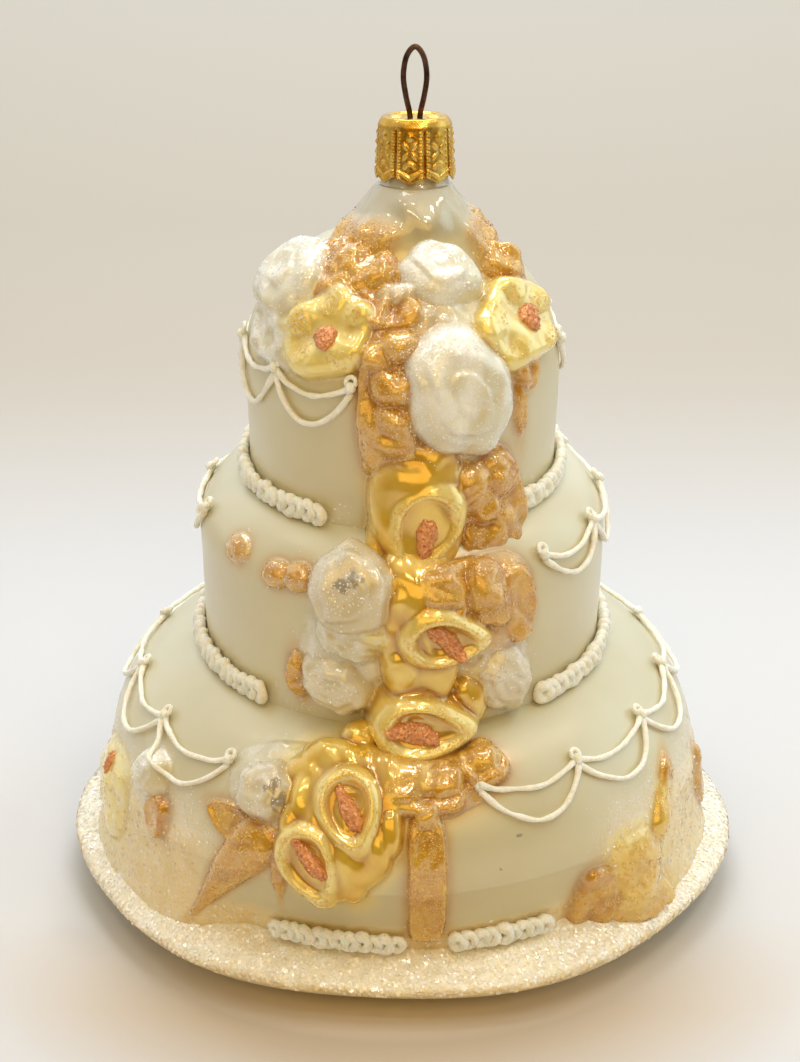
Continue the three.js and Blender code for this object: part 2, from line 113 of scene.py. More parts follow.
PADS = [
    *on(TOP, (-1.2, 100.4, 5, 4.6, 3.6), (-9.2, 99.2, 4, 4.2, 3.2), (-2.8, 95.4, 6, 5, 3.1),
        (-2.6, 88.6, 6, 8, 3.1), (-9.4, 87, 3.4, 9, 2.4), (34, 79.4, 5, 4.4, 4),
        (27.6, 76.4, 4.6, 6, 4.4, 30), (34, 73.4, 4, 7, 4.2, -20)),
    *on(MIDDLE, (10.4, 66, 6, 6.4, 3.8, 20), (21.6, 65.6, 6, 7, 3.9, -20), (25.4, 62, 3.6, 4.6, 3.2)),
    *on(BOTTOM, (0.4, 38, 6, 6, 2.7), (8.8, 38, 6, 5.4, 2.7), (18, 39.6, 5, 5, 2.8),
        (4.6, 34.6, 3.2, 4.4, 2.5)),
]
TAILS = on(BOTTOM, (4.6, 24.7, 5.7, 23, 1.3))
CONES = on(BOTTOM, (-34.1, 22.1, 9.4, 24, 2.2, -36), (-23, 24.4, 4.6, 11, 1.3, -4))
TRUMPETS = [
    *on(TOP, (8.4, 83.2, 10, 8.4, 3.2), (-6.6, 73, 4.4, 12, 3, -8, 0.2)),
    *on(MIDDLE, (-1, 63.6, 4.4, 9.4, 3, -8), (0, 54.4, 6, 8, 3.5), (18, 46.6, 6, 9.6, 3)),
    *on(BOTTOM, (-10.7, 41.8, 6, 5.4, 3), (-14.4, 39.8, 12, 6.6, 3.4, -6), (-19.6, 35.6, 4.8, 9, 2.9, 6),
        (-2.4, 33, 4.2, 9, 2.6), (-9.2, 26.6, 4.8, 10, 2.6, 8)),
]
YELLOW_BEDS = [
    *on(TOP, (5.8, 77, 13.5, 20, 3, 0, 0.22)),
    *on(MIDDLE, (4.6, 59, 13.5, 34, 3)),
    *on(BOTTOM, (-9.5, 37.6, 26, 14, 2.6, 12), (-13.5, 31, 17, 21, 2.9, 22)),
]
AMBER_BEDS = [
    *on(TOP, (-36, 107.6, 17, 13, 2.6)),
    *on(MIDDLE, (24, 62, 15, 18, 1.4)),
    *on(BOTTOM, (9, 38.6, 19, 10, 1.4)),
]
WHITE_BEDS = on(TOP, (-58, 99.4, 13, 11, 2.4))
PEARL_BEDS = [
    *on(TOP, (-1.6, 106.3, 8, 4.6, 2.6), (19, 98, 16, 33, 1.8, 6)),
    *on(MIDDLE, (-13.4, 60, 12.6, 13, 3.4), (-18, 53, 13, 15, 1.6), (26.5, 53, 11, 12, 1.4)),
    *on(BOTTOM, (-27, 36.5, 15, 14, 1.2)),
]
BUDS = on(MIDDLE, (-53, 66.6, 5.2, 4.8, 1.1), (-36.6, 65.6, 5, 4.8, 1.8), (-29.6, 66, 5, 4.8, 1.9))
# Patches where the silvering has gone and grey glass shows, and specks of dirt. Of the two patches on the
# bottom tier's clear rose, one is painted shade: a dark shadow, painted like bare grey glass.
WEAR_AND_PAINTED_SHADE = [
    *on(MIDDLE, (-14.4, 66.4, 3.2, 2, 0, 10), (-11.2, 67, 2.6, 1.5, 0, -20)),
    *on(BOTTOM, (-25.2, 36, 2, 3, 0, -30), (-23.6, 34.6, 1.4, 3, 0, -20), (22.3, 30.4, 2.4, 0.5, 0, 4),
        (18.2, 26.1, 1.4, 0.5, 0, -50)),
]
# Dabs of coarse coral glitter: the calla lilies' spadices, and then the open flowers' eyes.
DABS = [
    *on(TOP, (6.9, 73.8, 2.5, 6, 1.3, -8)),
    *on(MIDDLE, (10.9, 59.2, 2.7, 7.8, 1.3, 40), (2.8, 44.9, 3, 7.4, 1.3, 74)),
    *on(BOTTOM, (-10, 34.8, 2.5, 7.2, 1.2, 34), (-16.2, 28.4, 2.3, 7.4, 1.2, 46)),
    *on(TOP, (-29.1, 100.6, 3.4, 3.4, 1.1), (56.3, 100.8, 3.6, 3.8, 1.1)),
    *on(BOTTOM, (-73.5, 25.6, 1.5, 3.6, 0.8, 12)),
]

BORDERS = [
    Run("top_border", TOP, 73.7, 46, 332),
    Run("middle_border", MIDDLE, 44.5, 40, 319),
    Run("bottom_border_left", BOTTOM, 13.5, -26, 0),
    Run("bottom_border_right", BOTTOM, 13.5, 9.5, 29.5),
    Run("bottom_border_back", BOTTOM, 13.5, 105, 255),
]
SWAGS = [
    Swags("top_swags", TOP, 95, 80, 342, 8, 2.2, 6),
    Swags("middle_swags", MIDDLE, 67.4, 43, 283, 9, 2, 4.4),
    Swags("bottom_swags", BOTTOM, 37.2, 16, 321, 13, 2, 4.8),
]

# Paints that the glass carries at each of its points.
PAINTS = 6
# HOLLOW carries the painted shade of hollows up to 1, and grey paint above 1.
AMBER, YELLOW, FROST, GLITTER, HOLLOW, GLOSS = range(PAINTS)
# The one paint of plain shapes, which is even all over them.
EVEN = 0
# Loose glitter: the paint it lies on, flakes to a square millimetre, size, tilt, height over the glass,
# seed, the most flakes, and the heights between which it lies.
PLATE_GLITTER = Glitter(FROST, 4.4, 0.66, 0.1, 0.05, 1, 45000)
SLOPE_GLITTER = Glitter(FROST, 0.9, 0.5, 0.1, 0.05, 5, 45000, 0, 26)
ROSE_GLITTER = Glitter(FROST, 6, 0.27, 0.16, 0.03, 2, 45000, 26)
GOLD_GLITTER = Glitter(GLITTER, 9, 0.27, 0.2, 0.03, 3, 40000)
CORAL_GLITTER = Glitter(EVEN, 7, 0.28, 0.35, 0.05, 4, 5000)


# Places on the cake


def smooth_step(value, low, high):
    """From 0 to 1 between two values, with soft ends."""
    share = np.clip((value - low) / (high - low), 0, 1)
    return share * share * (3 - 2 * share)


def from_front(angle):
    """Angle between -180 and 180 degrees."""
    return (angle + 180) % 360 - 180


def tier_side(tier, along):
    """Radius and height of a tier's side, a way along it above the top of its wall."""
    rise = tier.crown - tier.wall_top
    turn = np.maximum(along, 0) / ((tier.reach + rise) / 2)
    below = np.minimum(along, 0)
    lean = (tier.wall - tier.foot) / (tier.wall_top - tier.base)
    radius = tier.wall + lean * below - tier.reach * (1 - np.cos(turn))
    return radius, tier.wall_top + below + rise * np.sin(turn)


def tier_along(tier, height):
    """How far along a tier's side a height lies."""
    rise = tier.crown - tier.wall_top
    if height <= tier.wall_top:
        return height - tier.wall_top
    return math.asin((height - tier.wall_top) / rise) * (tier.reach + rise) / 2


def slope_share(angle):
    """How fully the foot of the cake runs out to the plate's lip, round the cake."""
    turn, fade = from_front(angle), SLOPE["fade"]
    share = 0
    for start, end in SLOPE["spans"]:
        span = smooth_step(turn, start, start + fade) * (1 - smooth_step(turn, end - fade, end))
        share = np.maximum(share, span)
    return share


def slope(tier, angle, along):
    """How far the glass of a tier runs out towards the plate's lip."""
    if tier is not BOTTOM:
        return 0
    _, height = tier_side(tier, along)
    down = np.clip((SLOPE["top"] - height) / (SLOPE["top"] - SLOPE["bottom"]), 0, 1)
    reach = SLOPE["reach"] - PLATE["widen"] * np.cos(2 * np.radians(angle))
    end = smooth_step(height, SLOPE["end"], SLOPE["bottom"])
    return reach * slope_share(angle) * down ** SLOPE["bend"] * end


def about_axis(reach, turn, level, aside=0):
    """Points at some distance and direction from the cake's axis, or from a line beside it."""
    return np.stack(np.broadcast_arrays(aside + reach * np.sin(turn), -reach * np.cos(turn), level), -1)


def over_tier(tier, angle, along, lift):
    """Points over a tier's side, each lifted straight out from the glass."""
    step = 0.1
    lift = lift + slope(tier, angle, along)
    radius, height = tier_side(tier, along)
    inner, upper = tier_side(tier, along + step)
    outer, lower = tier_side(tier, along - step)
    size = np.hypot(upper - lower, outer - inner)
    reach = radius + lift * (upper - lower) / size
    return about_axis(reach, np.radians(angle), height + lift * (outer - inner) / size)


def leaned(points):
    """Bends the neck's points back, and leans those above the bend by the whole angle."""
    x, y, z = points.T
    turn = math.radians(LEAN["angle"]) * smooth_step(z, LEAN["from"], LEAN["to"])
    up = z - LEAN["pivot"]
    back = y * np.cos(turn) + up * np.sin(turn)
    return np.stack([x, back, LEAN["pivot"] + up * np.cos(turn) - y * np.sin(turn)], -1)


# Shapes


def circle(count):
    """Directions spread evenly over a full turn."""
    return np.arange(count) * 2 * math.pi / count


def spokes(across, upward, turn):
    """Directions round each of some places, from two directions at each."""
    return across[:, None] * np.cos(turn)[:, None] + upward[:, None] * np.sin(turn)[:, None]


def ripple(x, y, size, seed, waves=7):
    """Soft random unevenness of about -1 to 1, with lumps of the given size."""
    dice = np.random.default_rng(seed)
    total = 0
    for turn, phase, scale in dice.uniform((0, 0, 0.7), (6.28, 6.28, 1.5), (waves, 3)):
        total = total + np.sin((x * math.cos(turn) + y * math.sin(turn)) * 6.28 / (size * scale) + phase)
    return total / math.sqrt(waves)


def smooth_rows(rows, count):
    """Points spread along a smooth curve through a few rows of numbers."""
    rows = np.array(rows, float)
    padded = np.vstack([rows[0], rows, rows[-1]])
    place = np.linspace(0, len(rows) - 1 - 1e-9, count)
    first = place.astype(int)
    share = (place - first)[:, None]
    a, b, c, d = (padded[first + k] for k in range(4))
    bend = (c - a) * share + (2 * a - 5 * b + 4 * c - d) * share**2 + (3 * b - a - 3 * c + d) * share**3
    return b + 0.5 * bend


def flipped(faces):
    """The same faces, turned to the other side."""
    return [face[::-1] for face in faces]


def ring_faces(rings, segments, first=0):
    """Quads between rings of points, each ring closed on itself."""
    near = first + np.arange((rings - 1) * segments).reshape(rings - 1, segments)
    beside = np.roll(near, -1, axis=1)
    return np.stack([near, near + segments, beside + segments, beside], -1).reshape(-1, 4).tolist()


def fan_faces(middle, first, segments):
    """Triangles from a middle point to a ring of points."""
    return [[middle, first + k, first + (k + 1) % segments] for k in range(segments)]


def shell_faces(rings, segments):
    """Faces of a closed shell of rings from below up, whose last two points close its ends."""
    count = rings * segments
    faces = flipped(ring_faces(rings, segments) + fan_faces(count, 0, segments))
    return faces + fan_faces(count + 1, count - segments, segments)


def plain(points, faces):
    """Shape with one even paint all over."""
    return Part(points, faces, np.tile((1.0, 0.0, 0.0), (len(points), 1)))


def tube(path, radius, sides):
    """Rope of paste or wire along a path, with round closed ends."""
    radius = np.broadcast_to(np.asarray(radius, float), len(path))
    along = np.gradient(path, axis=0)
    along /= np.linalg.norm(along, axis=1)[:, None]
    across = np.zeros_like(along)
    side = np.cross(along[0], (0.31, 0.52, 0.79))
    for k, way in enumerate(along):
        side = side - way * side.dot(way)
        side = side / np.linalg.norm(side)
        across[k] = side
    ring = spokes(across, np.cross(along, across), circle(sides))
    points = (path[:, None] + ring * radius[:, None, None]).reshape(-1, 3)
    ends = [path[0] - along[0] * radius[0] * 0.6, path[-1] + along[-1] * radius[-1] * 0.6]
    return plain(np.vstack([points, ends]), shell_faces(len(path), sides))


def blob(middle, radius, seed, rings=7, segments=10):
    """Small lumpy ball of paste."""
    down = np.linspace(0.12, math.pi - 0.12, rings)[:, None]
    around = circle(segments)
    size = radius * (1 + 0.14 * ripple(down * 3, around, 2.2, seed))
    reach = size * np.sin(down)
    points = np.stack([reach * np.cos(around), reach * np.sin(around), size * np.cos(down)], -1)
    points = np.vstack([points.reshape(-1, 3), [[0, 0, radius], [0, 0, -radius]]]) + middle
    return plain(points, flipped(shell_faces(rings, segments)))


# Flowers


def oval(around):
    """Outline of a plain oval."""
    return 1


def rounded(power, waver=0, lobes=0, seed=0):
    """Outline between a lozenge (power near 1) and a rounded square (power 4) that may waver in lobes."""
    def plan(around):
        sides = np.abs(np.cos(around)) ** power + np.abs(np.sin(around)) ** power
        return sides ** (-1 / power) * (1 + waver * np.sin(lobes * around + seed))
    return plan


def polar(flower, x, y, plan=oval):
    """Share of the way to a flower's outline, and the direction from its middle."""
    around = np.arctan2(y / flower.length, x / flower.width)
    return np.hypot(2 * x / flower.width, 2 * y / flower.length) / plan(around), around


def profile(share, rows):
    """Level at shares of a half-width, on a smooth curve through some rows of the two."""
    curve = smooth_rows(rows, 80)
    return np.interp(share, curve[:, 0], curve[:, 1])


def moulded(flower, x, y, plan, rows):
    """Share of the way to a flower's outline, and the level there."""
    share, _ = polar(flower, x, y, plan)
    return share, profile(share, rows)


def rose(flower, x, y, seed):
    """Rose: a dome with soft petals that wind out from its heart, frosted on its upper side."""
    def plan(turn):
        return 1 + 0.04 * np.cos(5 * turn + seed) + 0.02 * np.cos(8 * turn)
    share, around = polar(flower, x, y, plan)
    dome = profile(share, [(0, 0.94), (0.35, 0.97), (0.6, 0.9), (0.8, 0.7), (0.93, 0.4), (1, 0.1)])
    winding = 2.5 * share + (around + 0.5 * np.sin(2 * around + seed)) / 6.283 + 0.16 * ripple(x, y, 7, seed)
    step = winding % 1
    petal = smooth_step(step, 0, 0.7) * (1 - smooth_step(step, 0.84, 1))
    strength = 0.1 * (0.7 + 0.4 * ripple(x, y, 5, seed + 1)) * smooth_step(share, 0.06, 0.25)
    relief = strength * (petal - 0.5) * (1 - smooth_step(share, 0.85, 1))
    upper = 0.5 + 0.9 * y / flower.length - 0.5 * x / flower.width + 0.35 * ripple(x, y, 5, seed + 3)
    frosted = smooth_step(upper, 0.1, 0.9)
    lumps = 0.13 * ripple(x, y, 3.6, seed + 2) + 0.035 * ripple(x, y, 1.5, seed + 4)
    return Shape(flower.depth * (dome + relief) + lumps, share, 0.2 + 0.8 * frosted)


def calla(flower, x, y, seed):
    """Calla lily: a shallow cup drawn out to a point below, with a line of pale glitter round its lip."""
    tapered = x / (1 + 0.4 * y / flower.length)
    share, around = polar(flower, tapered, y, lambda turn: 1 + 0.2 * np.maximum(0, -np.sin(turn)) ** 6)
    level = profile(share, [(0, 0.62), (0.25, 0.61), (0.44, 0.65), (0.56, 0.78), (0.64, 0.95), (0.71, 0.99),
                            (0.82, 0.9), (0.93, 0.74), (1, 0.5)])
    level = level + 0.08 * np.sin(around) * smooth_step(share, 0.4, 0.85)
    fold = np.exp(-(((share - 0.4 - 0.05 * np.sin(3 * around + seed)) / 0.07) ** 2))
    level = level + 0.09 * fold * (0.6 + 0.5 * np.sin(around + 0.4 * seed))
    lip = np.exp(-(((share - 0.71) / 0.1) ** 2))
    lift = flower.depth * level + 0.05 * ripple(x, y, 2.6, seed)
    return Shape(lift, share, lip * (0.8 + 0.3 * ripple(x, y, 2, seed)), 0.78 + 0.2 * fold - 0.22 * lip)


def petal_dabs(flower, seed):
    """Where the dabs of glitter lie on an open flower, one to each petal."""
    dice = np.random.default_rng(seed)
    for petal in range(5):
        turn = math.radians(90 + 72 * petal) + dice.uniform(-0.3, 0.3)
        reach = dice.uniform(0.24, 0.36)
        yield reach * flower.width * math.cos(turn), reach * flower.length * math.sin(turn)


def blossom(flower, x, y, seed):
    """Open flower: five broad, uneven petals with swollen rims round a low middle."""
    def plan(turn):
        return 1 + 0.05 * np.cos(5 * turn - 1.57) + 0.06 * np.sin(2 * turn + seed)
    share, around = polar(flower, x, y, plan)
    uneven = around + 0.22 * np.sin(around + seed) + 0.14 * np.sin(2 * around + 1.7 * seed)
    between = np.abs(np.sin(2.5 * (uneven - math.pi / 2)))
    level = profile(share, [(0, 0.66), (0.25, 0.68), (0.5, 0.86), (0.72, 1), (0.88, 0.8), (1, 0.2)])
    groove = 0.15 * smooth_step(between, 0.4, 1) * smooth_step(share, 0.3, 0.65)
    ragged = 0.35 * ripple(x, y, 1.6, seed + 1)
    glitter = 0
    for dab_x, dab_y in petal_dabs(flower, seed):
        glitter = np.maximum(glitter, 1 - smooth_step(np.hypot(x - dab_x, y - dab_y) + ragged, 1, 1.9))
    lift = flower.depth * (level - groove + 0.1 * ripple(x, y, 6, seed)) + 0.12 * glitter
    return Shape(lift, share, glitter)


def leaf(flower, x, y, seed):
    """Crinkled leaf, pointed at both ends, with a groove along its middle."""
    rows = [(0, 0.86), (0.35, 0.95), (0.65, 0.86), (0.85, 0.6), (1, 0.1)]
    share, level = moulded(flower, x, y, rounded(1.45), rows)
    rib = 0.15 * np.exp(-((x / (0.1 * flower.width)) ** 2))
    crinkle = 0.16 * ripple(x, y * 0.7, 4.4, seed) + 0.04 * ripple(x, y, 1.8, seed + 1)
    return Shape(flower.depth * (level - rib + crinkle), share, 0.4 + 0.5 * ripple(x, y, 2.5, seed + 3))


def almond(flower, x, y, seed):
    """Flat leaf within a raised outline."""
    rows = [(0, 0.5), (0.6, 0.48), (0.78, 0.62), (0.88, 1), (0.95, 0.85), (1, 0.3)]
    share, level = moulded(flower, x, y, rounded(1.5), rows)
    lift = flower.depth * level + 0.04 * ripple(x, y, 1.8, seed)
    return Shape(lift, share, 0.5 + 0.3 * ripple(x, y, 2, seed))


def ribbon(flower, x, y, seed):
    """Crumpled ribbon with soft creases along it."""
    rows = [(0, 0.8), (0.5, 0.84), (0.78, 0.88), (0.92, 0.66), (1, 0.15)]
    share, level = moulded(flower, x, y, rounded(3.2), rows)
    bent_x = x + 1.3 * ripple(x, y, 9, seed + 5)
    crumple = 0.2 * ripple(bent_x, y * 0.7, 5.4, seed) + 0.05 * ripple(bent_x, y, 2.6, seed + 1)
    return Shape(flower.depth * (level + crumple), share, 0.3 + 0.5 * ripple(x, y, 2.2, seed + 3))


def pad(flower, x, y, seed):
    """Soft swelling in a ribbon's fold, with glitter in the seams round it."""
    rows = [(0, 1), (0.4, 0.97), (0.66, 0.88), (0.86, 0.7), (1, 0.5)]
    share, level = moulded(flower, x, y, rounded(2.8, 0.1, 2, seed), rows)
    seam = smooth_step(share, 0.6, 0.95)
    return Shape(flower.depth * (level + 0.1 * ripple(x, y, 4, seed)), share, 0.4 + 0.4 * seam)


def bed(flower, x, y, seed):
    """Low swell of glass that fills the room between flowers."""
    rows = [(0, 1), (0.45, 0.92), (0.75, 0.62), (0.92, 0.25), (1, 0)]
    share, level = moulded(flower, x, y, rounded(2.4, 0.07, 3, seed), rows)
    lumps = 0.14 * ripple(x, y, 6, seed) + 0.04 * ripple(x, y, 1.9, seed + 1)
    return Shape(flower.depth * (level + lumps), share, 0.25 + 0.4 * ripple(x, y, 3, seed + 3))


def pool(flower, x, y, seed):
    """Thick smooth bed of glass with steep sides, without glitter."""
    rows = [(0, 1), (0.5, 0.96), (0.75, 0.82), (0.92, 0.48), (1, 0.1)]
    share, level = moulded(flower, x, y, rounded(2.1, 0.08, 3, seed), rows)
    folds = 0.3 * ripple(x, 0.45 * y, 5, seed) + 0.15 * ripple(x, y, 8, seed + 1)
    return Shape(flower.depth * level + folds, share, 0)


def tail(flower, x, y, seed):
    """Flat end of a ribbon, a little hollow across."""
    rows = [(0, 0.74), (0.5, 0.8), (0.8, 1), (0.93, 0.8), (1, 0.2)]
    share, level = moulded(flower, x, y, rounded(6), rows)
    lift = flower.depth * level + 0.06 * ripple(x, y * 0.5, 1.6, seed)
    return Shape(lift, share, 0.6 + 0.3 * ripple(x, y, 2, seed))


def cone(flower, x, y, seed):
    """Ribbon end drawn out to a soft point below."""
    narrow = np.clip(0.52 + y / flower.length, 0.12, 1) ** 0.8
    rows = [(0, 1), (0.5, 0.88), (0.8, 0.62), (0.94, 0.35), (1, 0.1)]
    share, level = moulded(flower, x / narrow, y, rounded(4), rows)
    lift = flower.depth * level * (0.35 + 0.65 * narrow)
    return Shape(lift + 0.06 * ripple(x, y, 2, seed), share, 0.5 + 0.4 * ripple(x, y, 2, seed))


def trumpet(flower, x, y, seed):
    """Smooth swollen side of a calla's trumpet."""
    rows = [(0, 1), (0.4, 0.95), (0.74, 0.72), (0.94, 0.36), (1, 0.1)]
    share, level = moulded(flower, x, y, rounded(2.3), rows)
    return Shape(flower.depth * (level + 0.06 * ripple(x, y, 4.4, seed)), share, 0)


def bud(flower, x, y, seed):
    """Small round bud."""
    rows = [(0, 1), (0.4, 0.93), (0.75, 0.65), (0.95, 0.28), (1, 0.1)]
    share, level = moulded(flower, x, y, oval, rows)
    return Shape(flower.depth * level + 0.12 * ripple(x, y, 1.8, seed), share, 0.5)


# Lacquers on the pressed flowers: amount of amber, yellow and frost.
FROSTED = (0, 0, 1)
THICK_FROST = (0, 0, 2.4)
YELLOW_COAT = (0, 1, 0)
LEMON_COAT = (0, 0.58, 0)
GOLDEN_COAT = (0.25, 1, 0)
CLEAR_COAT = (0.12, 0, 0.5)
AMBER_COAT = (1, 0, 0)
SPRAYED = (0.9, 0, 0.4)
# Each kind of flower: its shape, its table, its lacquer, and how softly it runs into its neighbours.
KINDS = [
    (bed, PEARL_BEDS, FROSTED, 1.6),
    (pool, YELLOW_BEDS, YELLOW_COAT, 1.2),
    (bed, LEMON_BEDS, LEMON_COAT, 2.2),
    (bed, AMBER_BEDS, AMBER_COAT, 1.2),
    (trumpet, TRUMPETS, YELLOW_COAT, 0.8),
    (tail, TAILS, AMBER_COAT, 0.35),
    (cone, CONES, AMBER_COAT, 0.6),
    (leaf, LEAVES, AMBER_COAT, 0.5),
    (almond, ALMONDS, AMBER_COAT, 0.4),
    (ribbon, RIBBONS, AMBER_COAT, 0.6),
    (bed, GOLDEN_LEAVES, GOLDEN_COAT, 0.9),
    (pad, PADS, AMBER_COAT, 1.1),
    (blossom, BLOSSOMS, LEMON_COAT, 0.9),
    (rose, ROSES, FROSTED, 0.5),
    (rose, CLEAR_ROSES, CLEAR_COAT, 0.6),
    (bud, BUDS, SPRAYED, 1.0),
    (calla, CALLAS, YELLOW_COAT, 0.35),
    (bed, WHITE_BEDS, THICK_FROST, 1.6),
]
SPRAY = 1.3


def flower_window(skin, flower, margin):
    """The window of a tier's grid round a flower, with its places across and up the flower, and how far
    each lies up the tier from the flower's middle."""
    middle = tier_along(flower.tier, flower.height)
    radius, _ = tier_side(flower.tier, middle)
    reach = 0.75 * max(flower.width, flower.length) + margin
    across = np.radians(from_front(skin.angle - flower.angle)) * radius
    rows = np.flatnonzero(np.abs(skin.along - middle) < reach)
    columns = np.flatnonzero(np.abs(across) < reach)
    across = across[columns]
    up = (skin.along[rows] - middle)[:, None]
    turn = math.radians(flower.turn)
    x = across * math.cos(turn) + up * math.sin(turn)
    y = up * math.cos(turn) - across * math.sin(turn)
    return np.ix_(rows, columns), x, y, up


def press(skin, flower, kind, lacquer, merge, seed):
    """Presses one flower into the glass of a tier and lacquers it."""
    window, x, y, up = flower_window(skin, flower, 3 * SPRAY)
    shape = kind(flower, x, y, seed)
    past = np.maximum(0, shape.share - 1) * min(flower.width, flower.length) / 2
    lift = shape.lift + flower.lean * np.maximum(0, flower.length / 2 - up) - 3 * past
    before = skin.lift[window]
    weight = np.clip(0.5 + 0.5 * (lift - before) / merge, 0, 1)
    skin.lift[window] = before * (1 - weight) + lift * weight + 0.5 * merge * weight * (1 - weight)
    mist = 0.4 * np.exp(-((past / SPRAY) ** 2))
    amber, yellow, frost = lacquer
    grain = np.clip(shape.grain, 0, 1)
    amounts = {AMBER: amber * shape.tint, YELLOW: yellow * shape.tint, FROST: frost * grain,
               GLITTER: max(amber, yellow) * (1 - frost) * grain, GLOSS: 1}
    for channel, amount in amounts.items():
        cover = skin.cover[..., channel]
        painted = cover[window] * (1 - weight) + amount * weight
        if channel in (AMBER, YELLOW, FROST):
            painted = np.maximum(painted, amount * mist * (1 - weight))
        cover[window] = painted


def grey_patch(skin, patch, seed):
    """Ragged grey patch, painted as a hollow of twice the depth."""
    window, x, y, _ = flower_window(skin, patch, 1)
    share, _ = polar(patch, x, y)
    bare = 1 - smooth_step(share + 0.25 * ripple(x, y, 1.3, seed), 0.7, 1.1)
    hollow = skin.cover[..., HOLLOW]
    hollow[window] = np.maximum(hollow[window], 2 * bare)


# Glass body


ROW_STEP = 0.32
SKIRT = 8


def tier_skin(tier, inner, front, fine, coarse):
    """Smooth glass of one tier, as a grid with fine columns in front and coarse ones behind. Its lower edge
    lies below the tier's base, so that flowers can hang over the tier below."""
    rise = tier.crown - tier.wall_top
    last = math.acos((inner - tier.wall + tier.reach) / tier.reach) * (tier.reach + rise) / 2
    first = tier.base - tier.wall_top - SKIRT
    along = np.linspace(first, last, int((last - first) / ROW_STEP))
    ahead = np.linspace(-front, front, int(2 * front / fine), endpoint=False)
    behind = np.linspace(front, 360 - front, int((360 - 2 * front) / coarse), endpoint=False)
    angle = np.concatenate([ahead, behind])
    grid = (len(along), len(angle))
    return Skin(tier, angle, along, np.zeros(grid), np.zeros((*grid, PAINTS)))


def softened(field, reach):
    """Mean of a field over the places round each of its places."""
    for axis in (0, 1):
        field = sum(np.roll(field, shift, axis) for shift in range(-reach, reach + 1)) / (2 * reach + 1)
    return field


def frost_of(tier, angle, height):
    """How thickly white glitter lies on the glass of a tier."""
    low = 1 - smooth_step(height, tier.base + 1.5, tier.base + 5)
    if tier is not BOTTOM:
        return 0.25 * low
    return np.maximum(low, slope_share(angle) * (1 - smooth_step(height, 24, 33)))


def decorate(skin):
    """Presses all of a tier's flowers into it, and finds its hollows, for the shade painted into them."""
    _, height = tier_side(skin.tier, skin.along[:, None])
    skin.cover[..., FROST] = frost_of(skin.tier, skin.angle, height)
    for number, (kind, flowers, lacquer, merge) in enumerate(KINDS):
        for count, flower in enumerate(flowers):
            if flower.tier is skin.tier:
                press(skin, flower, kind, lacquer, merge, 100 * number + count)
    # Painted shade: how far each place lies below the softened glass round it, to darken the lacquer in
    # creases.
    skin.cover[..., HOLLOW] = np.clip((softened(softened(skin.lift, 4), 3) - skin.lift) / 0.45, 0, 1)
    for number, patch in enumerate(WEAR_AND_PAINTED_SHADE):
        if patch.tier is skin.tier:
            grey_patch(skin, patch, number)


def skin_part(skin):
    """Closed shell of a tier's glass."""
    along = skin.along[:, None]
    radius, _ = tier_side(skin.tier, along)
    uneven = 0.07 * ripple(np.radians(skin.angle) * radius, along, 21, SEED)
    points = over_tier(skin.tier, skin.angle, along, skin.lift + uneven)
    ends = [[0, 0, points[0, 0, 2]], [0, 0, points[-1, 0, 2]]]
    points = np.vstack([points.reshape(-1, 3), ends])
    cover = np.vstack([skin.cover.reshape(-1, PAINTS), np.zeros((2, PAINTS))])
    return Part(points, shell_faces(*skin.lift.shape), cover)


def lift_at(skin, angle, along):
    """How far the pressed glass stands out at some places, between the points of its grid."""
    columns = np.interp((angle - skin.angle[0]) % 360, skin.angle - skin.angle[0], np.arange(len(skin.angle)))
    rows = np.interp(along, skin.along, np.arange(len(skin.along)))
    column, row = columns.astype(int), rows.astype(int)
    beside, above = columns - column, rows - row
    after = (column + 1) % len(skin.angle)
    low = skin.lift[row, column] * (1 - beside) + skin.lift[row, after] * beside
    high = skin.lift[row + 1, column] * (1 - beside) + skin.lift[row + 1, after] * beside
    return low * (1 - above) + high * above


def dab(skin, flower, seed):
    """Grainy dab of coloured glitter lying on the pressed glass."""
    rings, segments = 16, 40
    share = np.linspace(0, 1, rings)[:, None]
    around = circle(segments)
    uneven = 1 + 0.08 * np.sin(3 * around + seed) + 0.05 * np.sin(7 * around + 2 * seed)
    x = flower.width / 2 * share * uneven * np.cos(around)
    y = flower.length / 2 * share * uneven * np.sin(around)
    turn = math.radians(flower.turn)
    middle = tier_along(flower.tier, flower.height)
    radius, _ = tier_side(flower.tier, middle)
    angle = flower.angle + np.degrees((x * math.cos(turn) - y * math.sin(turn)) / radius)
    along = middle + x * math.sin(turn) + y * math.cos(turn)
    dome = flower.depth * np.sqrt(np.maximum(0, 1 - share**2.2)) - 0.6 * (share > 0.99)
    grains = 0.1 * ripple(x, y, 0.75, seed) * (share < 0.9)
    points = over_tier(flower.tier, angle, along, lift_at(skin, angle, along) + dome + grains).reshape(-1, 3)
    points = np.vstack([points[:segments].mean(0), points[segments:]])
    return plain(points, fan_faces(0, 1, segments) + ring_faces(rings - 1, segments, 1))


